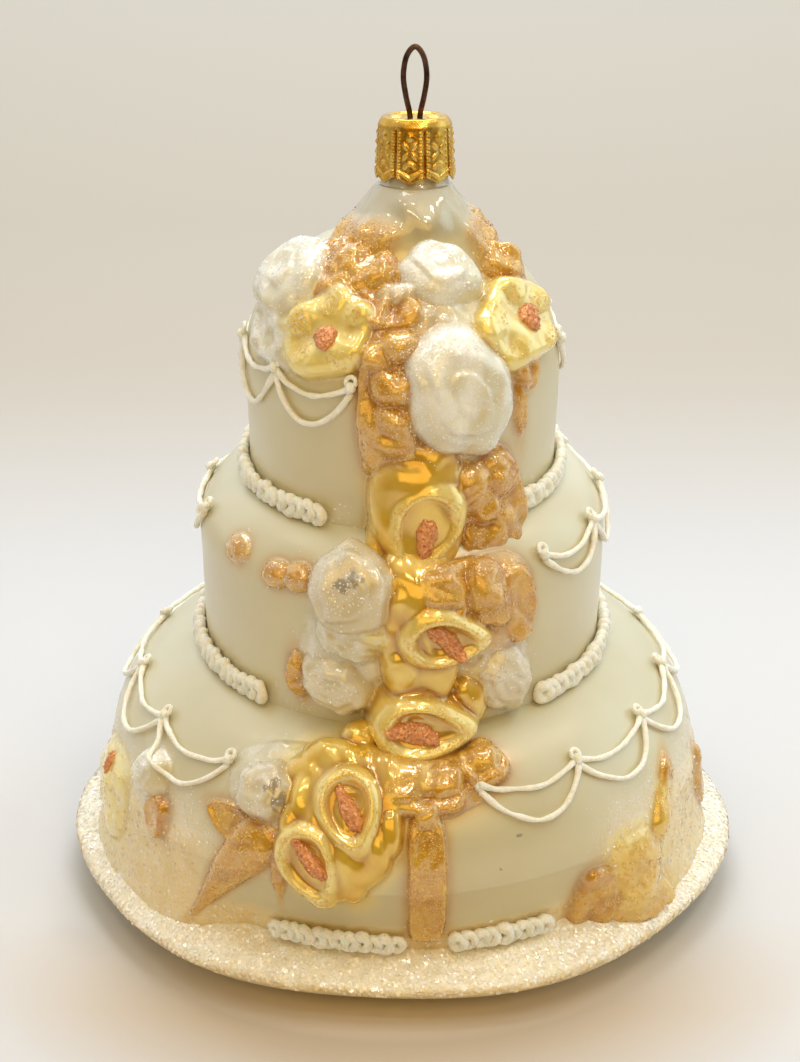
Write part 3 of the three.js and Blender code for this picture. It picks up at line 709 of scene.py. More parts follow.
def plate_glass():
    """Wavy plate: from the foot out round a smooth lip and in over its glittered top."""
    count, segments = 60, 400
    rows = smooth_rows(PLATE_ROWS + [(BOTTOM.foot - 1, BOTTOM.base - 0.2)], count)
    radius, height = rows[:, :1], rows[:, 1:]
    turn = circle(segments)
    share = smooth_step(radius, PLATE["foot"], PLATE["radius"])
    wave = PLATE["wave"] * np.cos(PLATE["waves"] * (turn + math.radians(PLATE["wave_turn"])))
    reach = radius + share * (wave - PLATE["widen"] * np.cos(2 * turn))
    # The glitter starts at the lip, half-way along the rows.
    upper = smooth_step(np.arange(count), 29, 33)[:, None]
    x, y = reach * np.sin(turn), -reach * np.cos(turn)
    level = height + upper * (0.2 * ripple(x, y, 9, SEED + 1) + 0.12 * ripple(x, y, 2.6, SEED + 2))
    points = np.stack([x, y, level], -1).reshape(-1, 3)
    points = np.vstack([points, [[0, 0, 0], [0, 0, rows[-1, 1]]]])
    cover = np.zeros((len(points), PAINTS))
    cover[:-2, FROST] = (upper + 0 * turn).ravel()
    return Part(points, shell_faces(count, segments), cover)


# Sprayed amber at the foot of the neck: where it lies round the neck and how wide, in degrees.
NECK_AMBER = [(-62, 46), (78, 30)]
# Round lumps in the neck: angle, height, half-width and rise.
NECK_LUMPS = [(-30, 112.5, 3.2, 1.3), (12, 114.6, 3, 1.5), (52, 112.6, 3, 1.2), (-14, 116.6, 2, 0.7),
              (150, 113, 4, 0.8), (-120, 114, 4, 0.8)]


def neck_glass():
    """Neck drawn out of the hot glass, with soft lumps round it."""
    count, segments = 60, 120
    rows = smooth_rows(NECK_ROWS, count)
    angle = np.arange(segments) * 360 / segments
    turn = np.radians(angle)
    radius, height = rows[:, :1], rows[:, 1:]
    below = 1 - smooth_step(height, 116, 120.5)
    amber = 0
    for middle, width in NECK_AMBER:
        amber = np.maximum(amber, np.exp(-((from_front(angle - middle) / width) ** 6)))
    amber = amber * (1 - smooth_step(height + 0.7 * np.sin(3 * turn), 112.4, 114.6))
    lumps = 0.1 * ripple(turn * 8, height, 4, SEED + 4)
    for middle, level, size, rise in NECK_LUMPS:
        away = np.hypot(np.radians(from_front(angle - middle)) * radius, height - level)
        lumps = lumps + rise * np.exp(-((away / size) ** 2))
    crumple = amber * (1.2 + 0.4 * ripple(turn * 8, height, 4, SEED + 3))
    points = about_axis(radius + lumps * below + crumple, turn, height, NECK_ASIDE).reshape(-1, 3)
    points = np.vstack([points, [[NECK_ASIDE, 0, rows[0, 1]], [NECK_ASIDE, 0, rows[-1, 1]]]])
    bare = 1 - amber
    # The unsprayed glass of the neck is painted grey towards its top, through the hollow paint.
    coats = {AMBER: amber, YELLOW: 0.08 * bare, FROST: 0.15 * bare, GLITTER: amber * 0.8,
             HOLLOW: 1.6 * bare * smooth_step(height, 108.5, 114)}
    cover = np.zeros((len(points), PAINTS))
    for channel, amount in coats.items():
        cover[:-2, channel] = amount.ravel()
    return Part(leaned(points), shell_faces(count, segments), cover)


# Piped paste


LOOP_PITCH = 1.75
LOOP_SIZE = (0.95, 1.1)
LOOP_THICK = 0.78
STRAND_THICK = 0.42


def hoop(middle, across, up, out, lean, scale):
    """Small ring of paste, leaning on the one before it."""
    steps, sides = 16, 8
    turn = circle(steps)
    ahead = across * math.cos(lean) + out * math.sin(lean)
    spoke = ahead * np.cos(turn)[:, None] * LOOP_SIZE[0] + up * np.sin(turn)[:, None] * LOOP_SIZE[1]
    radial = spoke / np.linalg.norm(spoke, axis=1)[:, None]
    thick = LOOP_THICK * (1 + 0.12 * np.sin(3 * turn + 20 * scale))[:, None, None]
    ring = spokes(radial, np.cross(ahead, up)[None], circle(sides))
    points = (middle + scale * (spoke[:, None] + thick * ring)).reshape(-1, 3)
    near = np.arange(steps * sides).reshape(steps, sides)
    beside = np.roll(near, -1, axis=1)
    after = np.roll(near, -1, axis=0)
    faces = np.stack([near, beside, np.roll(beside, -1, axis=0), after], -1).reshape(-1, 4).tolist()
    return plain(points, faces)


def border(run, seed):
    """Row of small rings of paste, piped one over the next round the foot of a tier."""
    along = tier_along(run.tier, run.height)
    radius, _ = tier_side(run.tier, along)
    count = round(radius * math.radians(run.end - run.start) / LOOP_PITCH)
    dice = np.random.default_rng(seed)
    loops = []
    for number in range(count):
        angle = run.start + (run.end - run.start) * (number + 0.5 + dice.uniform(-0.12, 0.12)) / count
        middle = over_tier(run.tier, angle, along + dice.uniform(-0.15, 0.15), LOOP_THICK + 0.35)
        out = over_tier(run.tier, angle, along, 1) - over_tier(run.tier, angle, along, 0)
        up = over_tier(run.tier, angle, along + 0.5, 0) - over_tier(run.tier, angle, along - 0.5, 0)
        across = np.cross(up, out)
        skew = dice.uniform(-0.1, 0.5)
        tilted = up * math.cos(skew) + across * math.sin(skew)
        level = across * math.cos(skew) - up * math.sin(skew)
        loops.append(hoop(middle, level, tilted, out, dice.uniform(0.1, 0.45), dice.uniform(0.86, 1.1)))
    return loops


def knot(run, number, seed):
    """Knob of paste with a little loop standing on it, where two swags meet."""
    angle = run.start + (run.end - run.start) * number / run.count
    along = tier_along(run.tier, run.height)
    ball = blob(over_tier(run.tier, angle, along - 0.2, 0.95), 0.85, seed)
    turn = np.linspace(-0.7, 3.9, 15)
    radius, _ = tier_side(run.tier, along)
    across = angle + np.degrees(0.7 * np.cos(turn) / radius)
    loop = tube(over_tier(run.tier, across, along + 0.65 + 0.7 * np.sin(turn), 0.95), 0.38, 7)
    return [ball, loop]


def strand(run, skin, number, drop, sag, seed):
    """One strand of paste from a knot to the next, lying over the pressed glass."""
    share = np.linspace(0, 1, 33)
    dice = np.random.default_rng(seed)
    sag = sag * dice.uniform(0.85, 1.12)
    lean = dice.uniform(-0.12, 0.12)
    hang = share + lean * share * (1 - share)
    angle = run.start + (run.end - run.start) * (number + share) / run.count
    along = tier_along(run.tier, run.height) - drop - 4 * sag * hang * (1 - hang)
    along = along + 0.1 * ripple(share, number, 0.35, seed + 2)
    thick = STRAND_THICK * (1 + 0.3 * (2 * share - 1) ** 4 + 0.12 * ripple(share, number, 0.16, seed))
    under = np.convolve(np.pad(lift_at(skin, angle, along), 2, "edge"), np.full(5, 0.2), "valid")
    lift = under + 0.62 + 0.06 * ripple(share, number, 0.3, seed + 1)
    return tube(over_tier(run.tier, angle, along, lift), thick, 9)


def high_strands(run, skin, seed):
    parts = [strand(run, skin, k, 0.1, run.high, seed + k) for k in range(run.count)]
    for number in range(run.count + 1):
        parts += knot(run, number, seed + 50 + number)
    return parts


def low_strands(run, skin, seed):
    return [strand(run, skin, k, 0.9, run.low + 0.9, seed + k) for k in range(run.count)]


# Metal


# Raised marks on each panel of the cap: place across and up the panel, half-width, half-height and turn.
CAP_MARKS = [(0, 0.83, 0.42, 0.42, 0), (-0.3, 0.67, 0.2, 0.5, -38), (0.3, 0.67, 0.2, 0.5, 38),
             (-0.3, 0.5, 0.2, 0.5, 38), (0.3, 0.5, 0.2, 0.5, -38)]
CAP_BEADS = 9


def embossing(across, up):
    """Raised pattern of one cap panel, in millimetres, from -1 to 1 across and 0 to 1 up."""
    half = math.pi * CAP["rim"] / CAP["panels"]
    tall = CAP["top"] - CAP["bottom"] - CAP["shoulder"]
    height = -0.5 * smooth_step(np.abs(across), 0.9, 1)
    for mark_across, mark_up, wide, high, tilt in CAP_MARKS:
        x, y = (across - mark_across) * half, (up - mark_up) * tall
        turn = math.radians(tilt)
        along, beside = y * math.cos(turn) + x * math.sin(turn), x * math.cos(turn) - y * math.sin(turn)
        height = height + 0.26 * np.exp(-((beside / wide) ** 2) - (along / high) ** 2)
    ring = np.hypot(across * half, (up - 0.27) * tall) - 0.8
    height = height + 0.2 * np.exp(-((ring / 0.2) ** 2)) * smooth_step(up, 0.26, 0.3)
    beads = 0.5 + 0.5 * np.cos(2 * math.pi * CAP_BEADS * up)
    edge = np.exp(-(((np.abs(across) - 0.76) * half / 0.22) ** 2)) * beads
    chevron = (up - 0.1 - 0.13 * np.abs(across)) * tall
    return height + 0.16 * edge + 0.22 * np.exp(-((chevron / 0.25) ** 2)) * (np.abs(across) < 0.9)


def gold_cap():
    """Pressed cap: embossed panels, pointed below, under a round shoulder and a beaded, dished top."""
    steps = 48
    segments = CAP["panels"] * steps
    turn = circle(segments)
    across = (np.arange(segments) % steps) / steps * 2
    across = np.where(across > 1, across - 2, across)
    top, bottom, rim, crown = CAP["top"], CAP["bottom"], CAP["rim"], CAP["crown"]
    shoulder = top - CAP["shoulder"]
    dome = smooth_rows([(0.3, top - 0.4), (2, top - 0.38), (3.6, top - 0.3), (4.2, top), (4.9, top - 0.15),
                        (crown, shoulder)], 26)
    wall = np.stack([np.linspace(crown, rim, 70), np.linspace(shoulder, bottom, 70)], -1)[1:]
    inside = [(rim - 0.25, bottom - 0.05), (rim - CAP["wall"], bottom + 0.2), (crown - 0.6, top - 2)]
    rows = np.vstack([dome, wall, inside])
    up = np.clip((rows[:, 1:] - bottom) / (shoulder - bottom), 0, 1)
    outer = np.zeros((len(rows), 1))
    outer[len(dome) - 4:len(dome) + len(wall)] = 1
    reach = rows[:, :1] + outer * embossing(across, up) * smooth_step(1 - up, 0, 0.06)
    zigzag = CAP["point"] * np.abs(across) * (1 - smooth_step(up, 0, 0.28))
    ahead = (np.arange(len(rows)) < len(dome))[:, None]
    beads = 0.12 * ahead * np.cos(30 * turn) * np.exp(-(((rows[:, :1] - 2.9) / 0.5) ** 2))
    level = rows[:, 1:] + zigzag + beads
    points = about_axis(reach, turn + math.radians(CAP["turn"]), level, NECK_ASIDE).reshape(-1, 3)
    faces = ring_faces(len(rows), segments) + fan_faces(len(points), 0, segments)
    return plain(leaned(np.vstack([points, [[NECK_ASIDE, 0, top - 0.4]]])), faces)


def hanger():
    """Bent wire: up one leg, round a pointed oval and down the other leg."""
    half = (HANGER["width"] - HANGER["wire"]) / 2
    low = CAP["top"]
    rise = HANGER["top"] - HANGER["wire"] / 2 - low
    leg = HANGER["legs"] / 2
    right = [(leg, HANGER["leg_end"]), (leg, low), (half * 0.8, low + rise * 0.3), (half, low + rise * 0.58),
             (half * 0.72, low + rise * 0.86)]
    left = [(-x, z) for x, z in reversed(right)]
    path = smooth_rows(right + [(0, low + rise)] + left, 90)
    points = np.stack([NECK_ASIDE + path[:, 0], 0.12 * np.sin(path[:, 1] * 0.9), path[:, 1]], -1)
    return tube(leaned(points), HANGER["wire"] / 2, 12)


# Loose glitter


def scatter(parts, glitter):
    """Loose flakes of glitter lying on painted shapes, more of them where the paint is thick."""
    dice = np.random.default_rng(glitter.seed)
    corners, weight = [], []
    for part in parts:
        faces = np.array([face for face in part.faces if len(face) == 4])
        height = part.points[faces, 2].mean(1)
        inside = (height > glitter.above) & (height < glitter.below)
        corners.append(part.points[faces])
        weight.append(glitter.density * inside * np.clip(part.paint[faces, glitter.paint].mean(1), 0, 1))
    corners, weight = np.vstack(corners), np.concatenate(weight)
    normal = np.cross(corners[:, 2] - corners[:, 0], corners[:, 3] - corners[:, 1])
    area = np.linalg.norm(normal, axis=1)
    normal = normal / np.maximum(area, 1e-9)[:, None]
    count = min(glitter.most, int((area * weight).sum() / 2))
    chosen = dice.choice(len(area), count, p=area * weight / (area * weight).sum())
    across, up = dice.random((2, count, 1))
    quad = corners[chosen]
    place = (quad[:, 0] * (1 - across) + quad[:, 1] * across) * (1 - up)
    place = place + (quad[:, 3] * (1 - across) + quad[:, 2] * across) * up
    facing = normal[chosen] + dice.normal(0, glitter.tilt, (count, 3))
    facing /= np.linalg.norm(facing, axis=1)[:, None]
    size = glitter.size * dice.uniform(0.6, 1.35, count)
    return flakes(place + normal[chosen] * glitter.lift, facing, size, dice)


def flakes(places, facing, size, dice):
    """Four-sided flakes at some places, each square to its own direction."""
    side = np.cross(facing, dice.normal(0, 1, facing.shape))
    side /= np.linalg.norm(side, axis=1)[:, None]
    ring = spokes(side, np.cross(facing, side), circle(4))
    points = (places[:, None] + ring * size[:, None, None] / 2).reshape(-1, 3)
    faces = np.arange(len(points)).reshape(-1, 4).tolist()
    shade = np.repeat(dice.random((len(places), 3)), 4, axis=0)
    return Part(points, faces, shade)


# Materials


def colour(text):
    """Linear colour of a hexadecimal one."""
    parts = [int(text[k:k + 2], 16) / 255 for k in (0, 2, 4)]
    linear = [c / 12.92 if c <= 0.04045 else ((c + 0.055) / 1.055) ** 2.4 for c in parts]
    return (*linear, 1)


def new_material(name, **sockets):
    """Material with one Principled shader, its plain values set on the shader's own sockets."""
    material = bpy.data.materials.new(name)
    material.use_nodes = True
    shader = material.node_tree.nodes["Principled BSDF"]
    for socket, value in sockets.items():
        shader.inputs[socket.replace("_", " ")].default_value = value
    return material, material.node_tree


def finish(material, **sockets):
    """Links nodes to the sockets of a material's shader, and gives the material back."""
    tree = material.node_tree
    shader = tree.nodes["Principled BSDF"]
    for socket, output in sockets.items():
        tree.links.new(output, shader.inputs[socket.replace("_", " ")])
    return material


def add(tree, kind, inputs=None, **settings):
    """New node with some of its inputs set to values or linked to other nodes' outputs."""
    node = tree.nodes.new("ShaderNode" + kind)
    for name, value in settings.items():
        setattr(node, name, value)
    for socket, value in (inputs or {}).items():
        if isinstance(value, bpy.types.NodeSocket):
            tree.links.new(value, node.inputs[socket])
        else:
            node.inputs[socket].default_value = value
    return node


def spot(tree):
    """Place on the object, in metres."""
    return add(tree, "TexCoord").outputs["Object"]


def axis_of(tree, vector, axis):
    return add(tree, "SeparateXYZ", {"Vector": vector}).outputs[axis]


def noise(tree, size, detail=3.0):
    """Cloudy noise with lumps of some millimetres."""
    inputs = {"Vector": spot(tree), "Scale": 1 / (size * MM), "Detail": detail}
    return add(tree, "TexNoise", inputs).outputs["Fac"]


def cells(tree, size):
    """A random colour for each cell of some millimetres."""
    return add(tree, "TexVoronoi", {"Vector": spot(tree), "Scale": 1 / (size * MM)}).outputs["Color"]


def spread(tree, value, low, high, to_low=0.0, to_high=1.0, **settings):
    """Stretches a value from one range to another."""
    inputs = {"Value": value, "From Min": low, "From Max": high, "To Min": to_low, "To Max": to_high}
    return add(tree, "MapRange", inputs, **settings).outputs["Result"]


def blend(tree, share, first, second):
    """Colour between two colours."""
    return add(tree, "Mix", {0: share, 6: first, 7: second}, data_type="RGBA").outputs[2]


def maths(tree, operation, first, second):
    return add(tree, "Math", {0: first, 1: second}, operation=operation).outputs[0]


def times(tree, first, second):
    return maths(tree, "MULTIPLY", first, second)


def vector_maths(tree, operation, inputs):
    return add(tree, "VectorMath", inputs, operation=operation).outputs


def painted(tree, layer="paint"):
    """The colour that a layer of a mesh carries."""
    return add(tree, "Attribute", attribute_name=layer).outputs["Color"]


def channels(tree, tone):
    """The three channels of a colour."""
    return add(tree, "SeparateColor", {"Color": tone}).outputs[:3]


def bump(tree, height, depth, normal=None):
    """Normal over a relief of some millimetres."""
    inputs = {"Height": height, "Strength": 1.0, "Distance": depth * MM}
    if normal:
        inputs["Normal"] = normal
    return add(tree, "Bump", inputs).outputs["Normal"]


def turned(tree, chance, strength, normal):
    """Normal turned a little by a random colour."""
    centred = vector_maths(tree, "SUBTRACT", {0: chance, 1: (0.5, 0.5, 0.5)})[0]
    scaled = vector_maths(tree, "SCALE", {0: centred, "Scale": strength})[0]
    moved = vector_maths(tree, "ADD", {0: scaled, 1: normal})[0]
    return vector_maths(tree, "NORMALIZE", {0: moved})[0]


def sparkle(tree, size, strength, normal):
    """Normal that turns a little at random on each grain of glitter."""
    return turned(tree, cells(tree, size), strength, normal)


def cloudy(tree, size, first, second):
    """Colour that drifts between two colours over clouds of some millimetres."""
    return blend(tree, spread(tree, noise(tree, size), 0.35, 0.66), colour(first), colour(second))


def facing_up(tree):
    """How far the glass faces up, from 0 on the walls to 1 on level ground."""
    normal = add(tree, "NewGeometry").outputs["Normal"]
    return spread(tree, axis_of(tree, normal, "Z"), 0.15, 0.85)


def frosting(tree):
    """Colour of white glitter: cream on the plate and the foot of the cake, and whiter above. Where it faces
    up it is painted paler, a painted sheen of the light from above.
    """
    upper = spread(tree, axis_of(tree, spot(tree), "Z"), 22 * MM, 36 * MM)
    wall, level = cloudy(tree, 3, "ecd292", "f5e0ae"), cloudy(tree, 3, "fdf4d8", "fffaea")
    # Painted sheen: level glitter is paler than the glitter on the walls, as if lit from above.
    cream = blend(tree, facing_up(tree), wall, level)
    return blend(tree, upper, cream, cloudy(tree, 3, "ececdf", "f7f7f0"))


def lacquered_tone(tree):
    """Colour of pearl lacquer with frost, yellow, amber and specks of glitter over it, by the paints. Half
    the yellow is a pale lemon, and all of it a deep yellow. Level ground is painted paler than the walls, a
    painted sheen of the light from above, and the lacquer is painted darker in the hollows, a painted shade."""
    amber, yellow, frost = channels(tree, painted(tree))
    glitter, hollow, _ = channels(tree, painted(tree, "finish"))
    # Painted sheen: the pearl on level ground is cooler and paler than on the walls, as if lit from above.
    wall, level = cloudy(tree, 26, "cfc39b", "d7cea8"), cloudy(tree, 26, "cfcaac", "d8d4ba")
    tone = blend(tree, facing_up(tree), wall, level)
    tone = blend(tree, times(tree, frost, 0.95), tone, frosting(tree))
    sprayed = spread(tree, noise(tree, 0.8, 5), 0.3, 0.62, 0.7, 1)
    lemon = times(tree, spread(tree, yellow, 0, 0.5), sprayed)
    tone = blend(tree, lemon, tone, cloudy(tree, 5, "f4dc6c", "faea98"))
    tone = blend(tree, spread(tree, yellow, 0.5, 1), tone, cloudy(tree, 5, "e4b93a", "f2d468"))
    tone = blend(tree, times(tree, amber, sprayed), tone, cloudy(tree, 4, "c28410", "dca828"))
    coated = maths(tree, "MAXIMUM", amber, yellow)
    # Painted shade: deeper amber in the hollows of the lacquered glass.
    tone = blend(tree, times(tree, times(tree, hollow, coated), 0.75), tone, colour("a8640c"))
    specks = times(tree, glitter, spread(tree, noise(tree, 0.45, 2), 0.44, 0.56))
    tone = blend(tree, times(tree, specks, 0.5), tone, colour("eccc70"))
    # Grey where the hollow paint is above 1: the grey patches, one of them painted shade, and the neck.
    tone = blend(tree, times(tree, spread(tree, hollow, 1.1, 1.9), 0.65), tone, colour("7c7664"))
    return tone, coated, specks


def pressed_glass(name, coat, coat_roughness):
    """Silvered glass under pearl and tinted lacquers, with grains of glitter by the paints."""
    material, tree = new_material(name, Coat_Weight=coat, Coat_Roughness=coat_roughness, Coat_IOR=1.7,
                                  Subsurface_Weight=0.12, Subsurface_Scale=0.003)
    tone, coated, specks = lacquered_tone(tree)
    _, yellow, frost = channels(tree, painted(tree))
    glitter, _, _ = channels(tree, painted(tree, "finish"))
    silvered = maths(tree, "ADD", spread(tree, frost, 0, 1, 0.15, 0.02), times(tree, yellow, 0.2))
    grainy = times(tree, maths(tree, "MAXIMUM", specks, frost), 0.12)
    rough = maths(tree, "ADD", spread(tree, coated, 0, 1, 0.36, 0.15), grainy)
    fine = bump(tree, noise(tree, 0.6), 0.014)
    grains = maths(tree, "MAXIMUM", times(tree, frost, 0.06), times(tree, glitter, 0.05))
    grained = bump(tree, times(tree, grains, noise(tree, 0.4, 2)), 1.0, fine)
    normal = sparkle(tree, 0.26, times(tree, frost, 0.4), grained)
    return finish(material, Base_Color=tone, Metallic=silvered, Roughness=rough, Normal=normal)


def coral_glitter():
    """Dabs of coarse coral glitter in clear glue."""
    material, tree = new_material("coral_glitter", Roughness=0.3, Metallic=0.2, Coat_Weight=0.4,
                                  Coat_Roughness=0.15)
    shade = channels(tree, cells(tree, 0.3))[0]
    return finish(material, Base_Color=blend(tree, shade, colour("d2803e"), colour("f0ae72")),
                  Normal=sparkle(tree, 0.3, 0.9, bump(tree, noise(tree, 0.4, 2), 0.12)))


def white_paste():
    """Raised sugar-like paste with fine grains that sparkle."""
    material, tree = new_material("white_paste", Subsurface_Weight=0.2, Subsurface_Scale=0.0015)
    return finish(material, Base_Color=cloudy(tree, 1.4, "f5f0de", "fffdf4"),
                  Roughness=spread(tree, noise(tree, 0.6), 0.3, 0.7, 0.3, 0.6),
                  Normal=sparkle(tree, 0.22, 0.5, bump(tree, noise(tree, 0.5, 3), 0.16)))


def flake(name, tones, metallic, coat, turn):
    """Cut glitter in clear glue: each flake has its own shade, and its gloss faces its own way. Without
    tones of its own it takes those of the white glitter."""
    material, tree = new_material(name, Metallic=metallic, Roughness=0.35, Coat_Weight=coat,
                                  Coat_Roughness=0.24, Coat_IOR=2.3)
    own = painted(tree)
    first, second = map(colour, tones) if tones else (frosting(tree), colour("fffcf0"))
    normal = add(tree, "NewGeometry").outputs["Normal"]
    shade = times(tree, channels(tree, own)[0], 0.8)
    return finish(material, Base_Color=blend(tree, shade, first, second),
                  Coat_Normal=turned(tree, own, turn, normal))


def gold_foil():
    """Thin pressed metal with a gold wash."""
    material, tree = new_material("gold_foil", Metallic=1.0)
    return finish(material, Base_Color=cloudy(tree, 2.5, "cc9834", "e6be62"),
                  Roughness=spread(tree, noise(tree, 0.7), 0.3, 0.7, 0.18, 0.34),
                  Normal=bump(tree, noise(tree, 0.5, 4), 0.03))


def bronze_wire():
    """Dark browned wire."""
    material, tree = new_material("bronze_wire", Metallic=0.9)
    return finish(material, Base_Color=cloudy(tree, 1.5, "3a2a22", "6b4e3c"),
                  Roughness=spread(tree, noise(tree, 0.5), 0.3, 0.7, 0.3, 0.5),
                  Normal=bump(tree, noise(tree, 0.3, 4), 0.02))


def pale_floor():
    """Pale paper, cooler near the ornament and a warmer grey behind it, painted lighter far behind where the
    lamps' light falls off, with a painted warm shadow in front of the plate and a painted pool of light
    right under its lip. Its distances are in metres."""
    material, tree = new_material("pale_floor", Roughness=0.85)
    depth = axis_of(tree, spot(tree), "Y")
    behind = spread(tree, depth, 0.07, 0.22, interpolation_type="SMOOTHSTEP")
    tone = blend(tree, behind, colour("cfcfd2"), colour("bdb4a8"))
    # Painted light: lighter far behind, where the lamps' light falls off.
    tone = blend(tree, spread(tree, depth, 0.3, 0.9), tone, colour("e8dfd1"))
    away = vector_maths(tree, "LENGTH", {0: spot(tree)})["Value"]
    ahead = spread(tree, depth, -0.02, -0.045)
    # Painted shade and light: a warm shadow in front of the plate, and a pool of light right under its lip.
    for near, far, glow in ((0.056, 0.08, "c9bba9"), (0.046, 0.053, "f6ebe2")):
        tone = blend(tree, times(tree, ahead, spread(tree, away, near, far, 1, 0)), tone, colour(glow))
    return finish(material, Base_Color=tone, Normal=bump(tree, noise(tree, 1.2), 0.02))


# Pieces


def piece(name, parts, material, slot, *nodes):
    """One object made of some shapes, riding on the ornament and standing for some of its solids."""
    points = np.vstack([part.points for part in parts]) * MM
    cover = np.vstack([part.paint for part in parts])
    faces, first = [], 0
    for part in parts:
        faces += [[first + corner for corner in face] for face in part.faces]
        first += len(part.points)
    mesh = bpy.data.meshes.new(name)
    mesh.from_pydata(points.tolist(), [], faces)
    for number, layer_name in enumerate(["paint", "finish"][:cover.shape[1] // 3]):
        layer = mesh.attributes.new(layer_name, "FLOAT_COLOR", "POINT")
        paint = cover[:, 3 * number:3 * number + 3]
        layer.data.foreach_set("color", np.hstack([paint, np.ones((len(cover), 1))]).ravel())
    mesh.shade_smooth()
    mesh.materials.append(material)
    made = bpy.data.objects.new(name, mesh)
    bpy.context.scene.collection.objects.link(made)
    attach(made, "root")
    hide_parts(*nodes)
    return made


def gloss_over(made, part, material):
    """Gives the lacquered faces of a piece their own glossier material."""
    made.data.materials.append(material)
    glossy = [int(part.paint[face, GLOSS].mean() > 0.5) for face in part.faces]
    made.data.polygons.foreach_set("material_index", glossy)


def dress():
    """Makes every piece of the ornament."""
    satin = pressed_glass("pearl_glass", coat=0.5, coat_roughness=0.28)
    glossy = pressed_glass("glossy_lacquer", coat=1.0, coat_roughness=0.05)
    coral = coral_glitter()
    paste = white_paste()
    white_flake = flake("white_flakes", ("f4f3ea", "fffffc"), metallic=0.0, coat=1.0, turn=0.9)
    cream_flake = flake("cream_flakes", None, metallic=0.0, coat=1.0, turn=0.8)
    gold_flake = flake("gold_flakes", ("e4ae38", "fbd880"), metallic=0.3, coat=0.5, turn=0.9)
    coral_flake = flake("coral_flakes", ("d07c46", "f4bc8c"), metallic=0.3, coat=0.6, turn=0.9)

    skins = {"bottom_tier": tier_skin(BOTTOM, MIDDLE.foot - 1.5, front=92, fine=0.38, coarse=2),
             "middle_tier": tier_skin(MIDDLE, TOP.foot - 1.5, front=75, fine=0.5, coarse=2.5),
             "top_tier": tier_skin(TOP, 6.5, front=112, fine=0.72, coarse=2.5)}
    shells = []
    for name, skin in skins.items():
        decorate(skin)
        shell = skin_part(skin)
        gloss_over(piece(name, [shell], satin, "pearl_glass", "glass_body"), shell, glossy)
        shells.append(shell)
    plate = plate_glass()
    neck = neck_glass()
    piece("plate", [plate], satin, "pearl_glass", "glass_body")
    piece("neck", [neck], glossy, "pearl_glass", "glass_body")
    dabs = []
    for skin in skins.values():
        dabs += [dab(skin, flower, number) for number, flower in enumerate(DABS) if flower.tier is skin.tier]
    piece("coral_dabs", dabs, coral, "coral_glitter", "glass_body")

    cream = [scatter([plate], PLATE_GLITTER), scatter(shells[:1], SLOPE_GLITTER)]
    piece("plate_glitter", cream, cream_flake, "white_glitter", "glass_body")
    piece("rose_glitter", [scatter(shells, ROSE_GLITTER)], white_flake, "white_glitter", "glass_body")
    gold = scatter(shells + [neck], GOLD_GLITTER)
    piece("gold_glitter", [gold], gold_flake, "amber_lacquer", "glass_body")
    piece("coral_flakes", [scatter(dabs, CORAL_GLITTER)], coral_flake, "coral_glitter", "glass_body")

    for number, run in enumerate(BORDERS):
        piece(run.name + "_loops", border(run, BORDER_SEED + number), paste, "white_paste", run.name)
    for number, run in enumerate(SWAGS):
        seed = SWAG_SEED + 100 * number
        skin = next(skin for skin in skins.values() if skin.tier is run.tier)
        piece(run.name + "_upper", high_strands(run, skin, seed), paste, "white_paste", run.name + "_high")
        piece(run.name + "_lower", low_strands(run, skin, seed + 20), paste, "white_paste", run.name + "_low")
    piece("gold_cap", [gold_cap()], gold_foil(), "gold_foil", "cap")
    piece("wire_hanger", [hanger()], bronze_wire(), "bronze_wire", "hanger_loop")


# Studio


CAMERA_PLACE = (-0.32, -388.5, 257.9)
CAMERA_AIM = (-0.32, 0, 60)
CAMERA_LENS = 93.4
FLOOR_HALF = 3.0
# Small bright lamps that the glitter throws back: their places and powers.
GLINTS = [(30, -90, 690, 0.18), (-190, -140, 640, 0.11), (240, -60, 620, 0.25), (-330, 60, 560, 0.09),
          (380, 120, 540, 0.1), (190, -230, 610, 0.26)]
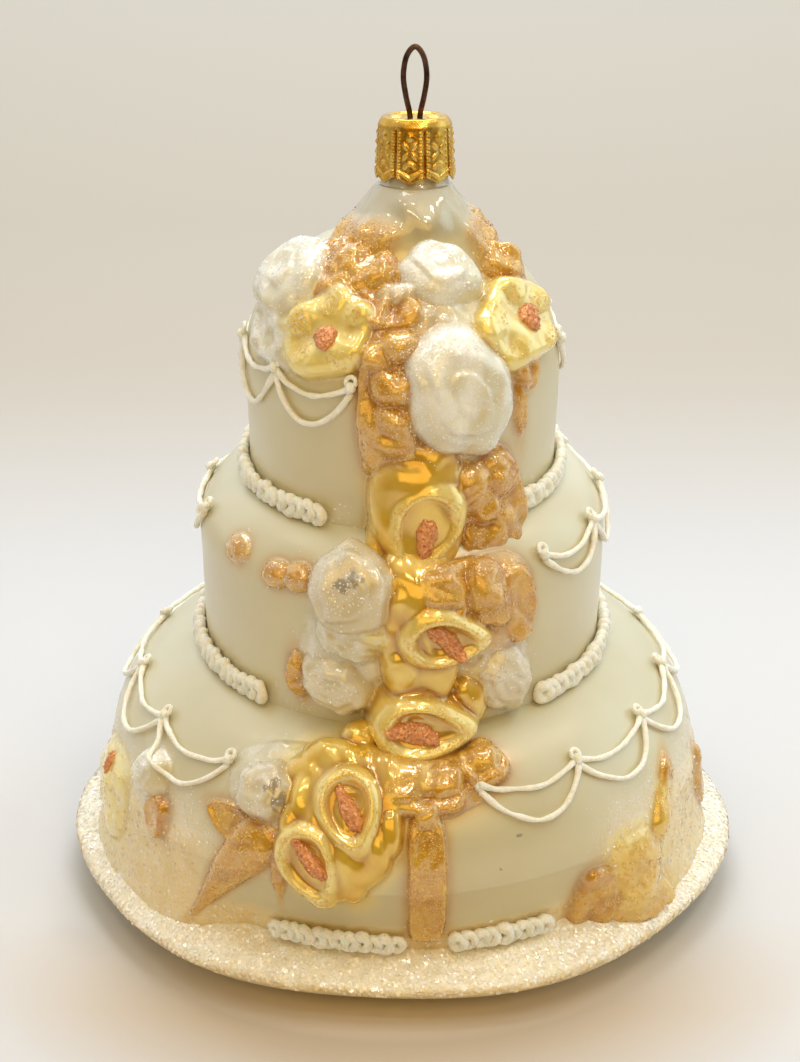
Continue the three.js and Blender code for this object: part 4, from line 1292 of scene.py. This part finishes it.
# The other lamps: name, place, target, width, height, power and tint.
LARGE_LAMPS = [
    ("window", (0, 330, 640), (0, 0, 40), 420, 360, 2.3, (0.885, 0.943, 1)),
    ("right_wall", (520, 90, 240), (0, 0, 50), 420, 400, 0.41, (0.51, 0.81, 1)),
    ("far_floor", (0, 1000, 500), (0, 1000, 0), 900, 700, 1.6, (0.39, 0.77, 1)),
    ("room", (0, -600, 450), (0, 0, 60), 800, 300, 1.28, (1, 0.64, 0.18)),
    ("ceiling", (0, -220, 640), (0, 0, 40), 640, 260, 0.25, (1, 0.86, 0.62)),
]
SMALL_LAMPS = [
    ("front_strip", (-60, -330, 520), (0, 0, 70), 160, 30, 0.16, (1, 0.87, 0.62)),
    ("front_spot", (120, -300, 480), (0, 0, 70), 36, 36, 0.12, (1, 0.85, 0.62)),
]


def millimetres(place):
    return Vector(place) * MM


def aim(thing, place, target):
    """Puts a lamp or camera at a place, looking at a target, both in millimetres."""
    thing.location = millimetres(place)
    thing.rotation_euler = (millimetres(target) - thing.location).to_track_quat("-Z", "Y").to_euler()
    bpy.context.scene.collection.objects.link(thing)


def camera():
    lens = bpy.data.cameras.new("camera")
    lens.lens = CAMERA_LENS
    lens.sensor_width = 36
    made = bpy.data.objects.new("camera", lens)
    aim(made, CAMERA_PLACE, CAMERA_AIM)
    bpy.context.scene.camera = made


def lamp(name, place, target, width, height, power, tint):
    light = bpy.data.lights.new(name, "AREA")
    light.shape = "RECTANGLE"
    light.size = width * MM
    light.size_y = height * MM
    light.energy = power
    light.color = tint
    aim(bpy.data.objects.new(name, light), place, target)


def floor():
    mesh = bpy.data.meshes.new("floor")
    half = FLOOR_HALF
    corners = [(-half, -half, 0), (half, -half, 0), (half, half, 0), (-half, half, 0)]
    mesh.from_pydata(corners, [], [(0, 1, 2, 3)])
    mesh.materials.append(pale_floor())
    made = bpy.data.objects.new("floor", mesh)
    bpy.context.scene.collection.objects.link(made)


def tent():
    """Daylight from behind and beside the ornament, and dim warm light from the front."""
    world = bpy.data.worlds.new("tent")
    world.use_nodes = True
    tree = world.node_tree
    back = spread(tree, axis_of(tree, add(tree, "TexCoord").outputs["Generated"], "Y"), -0.75, 0.35)
    glow = blend(tree, back, (0.16, 0.1, 0.01, 1), (0.93, 0.94, 0.935, 1))
    tree.links.new(glow, tree.nodes["Background"].inputs["Color"])
    bpy.context.scene.world = world


def studio():
    """White daylight from behind, warm room light from the front, and small lamps for highlights."""
    floor()
    tent()
    glints = [("glint_" + str(number), place, (0, -40, 10), 64, 64, power, (1, 0.94, 0.82))
              for number, (*place, power) in enumerate(GLINTS)]
    for values in LARGE_LAMPS + glints + SMALL_LAMPS:
        lamp(*values)
    bpy.context.scene.view_settings.view_transform = "Standard"


camera()
studio()
dress()
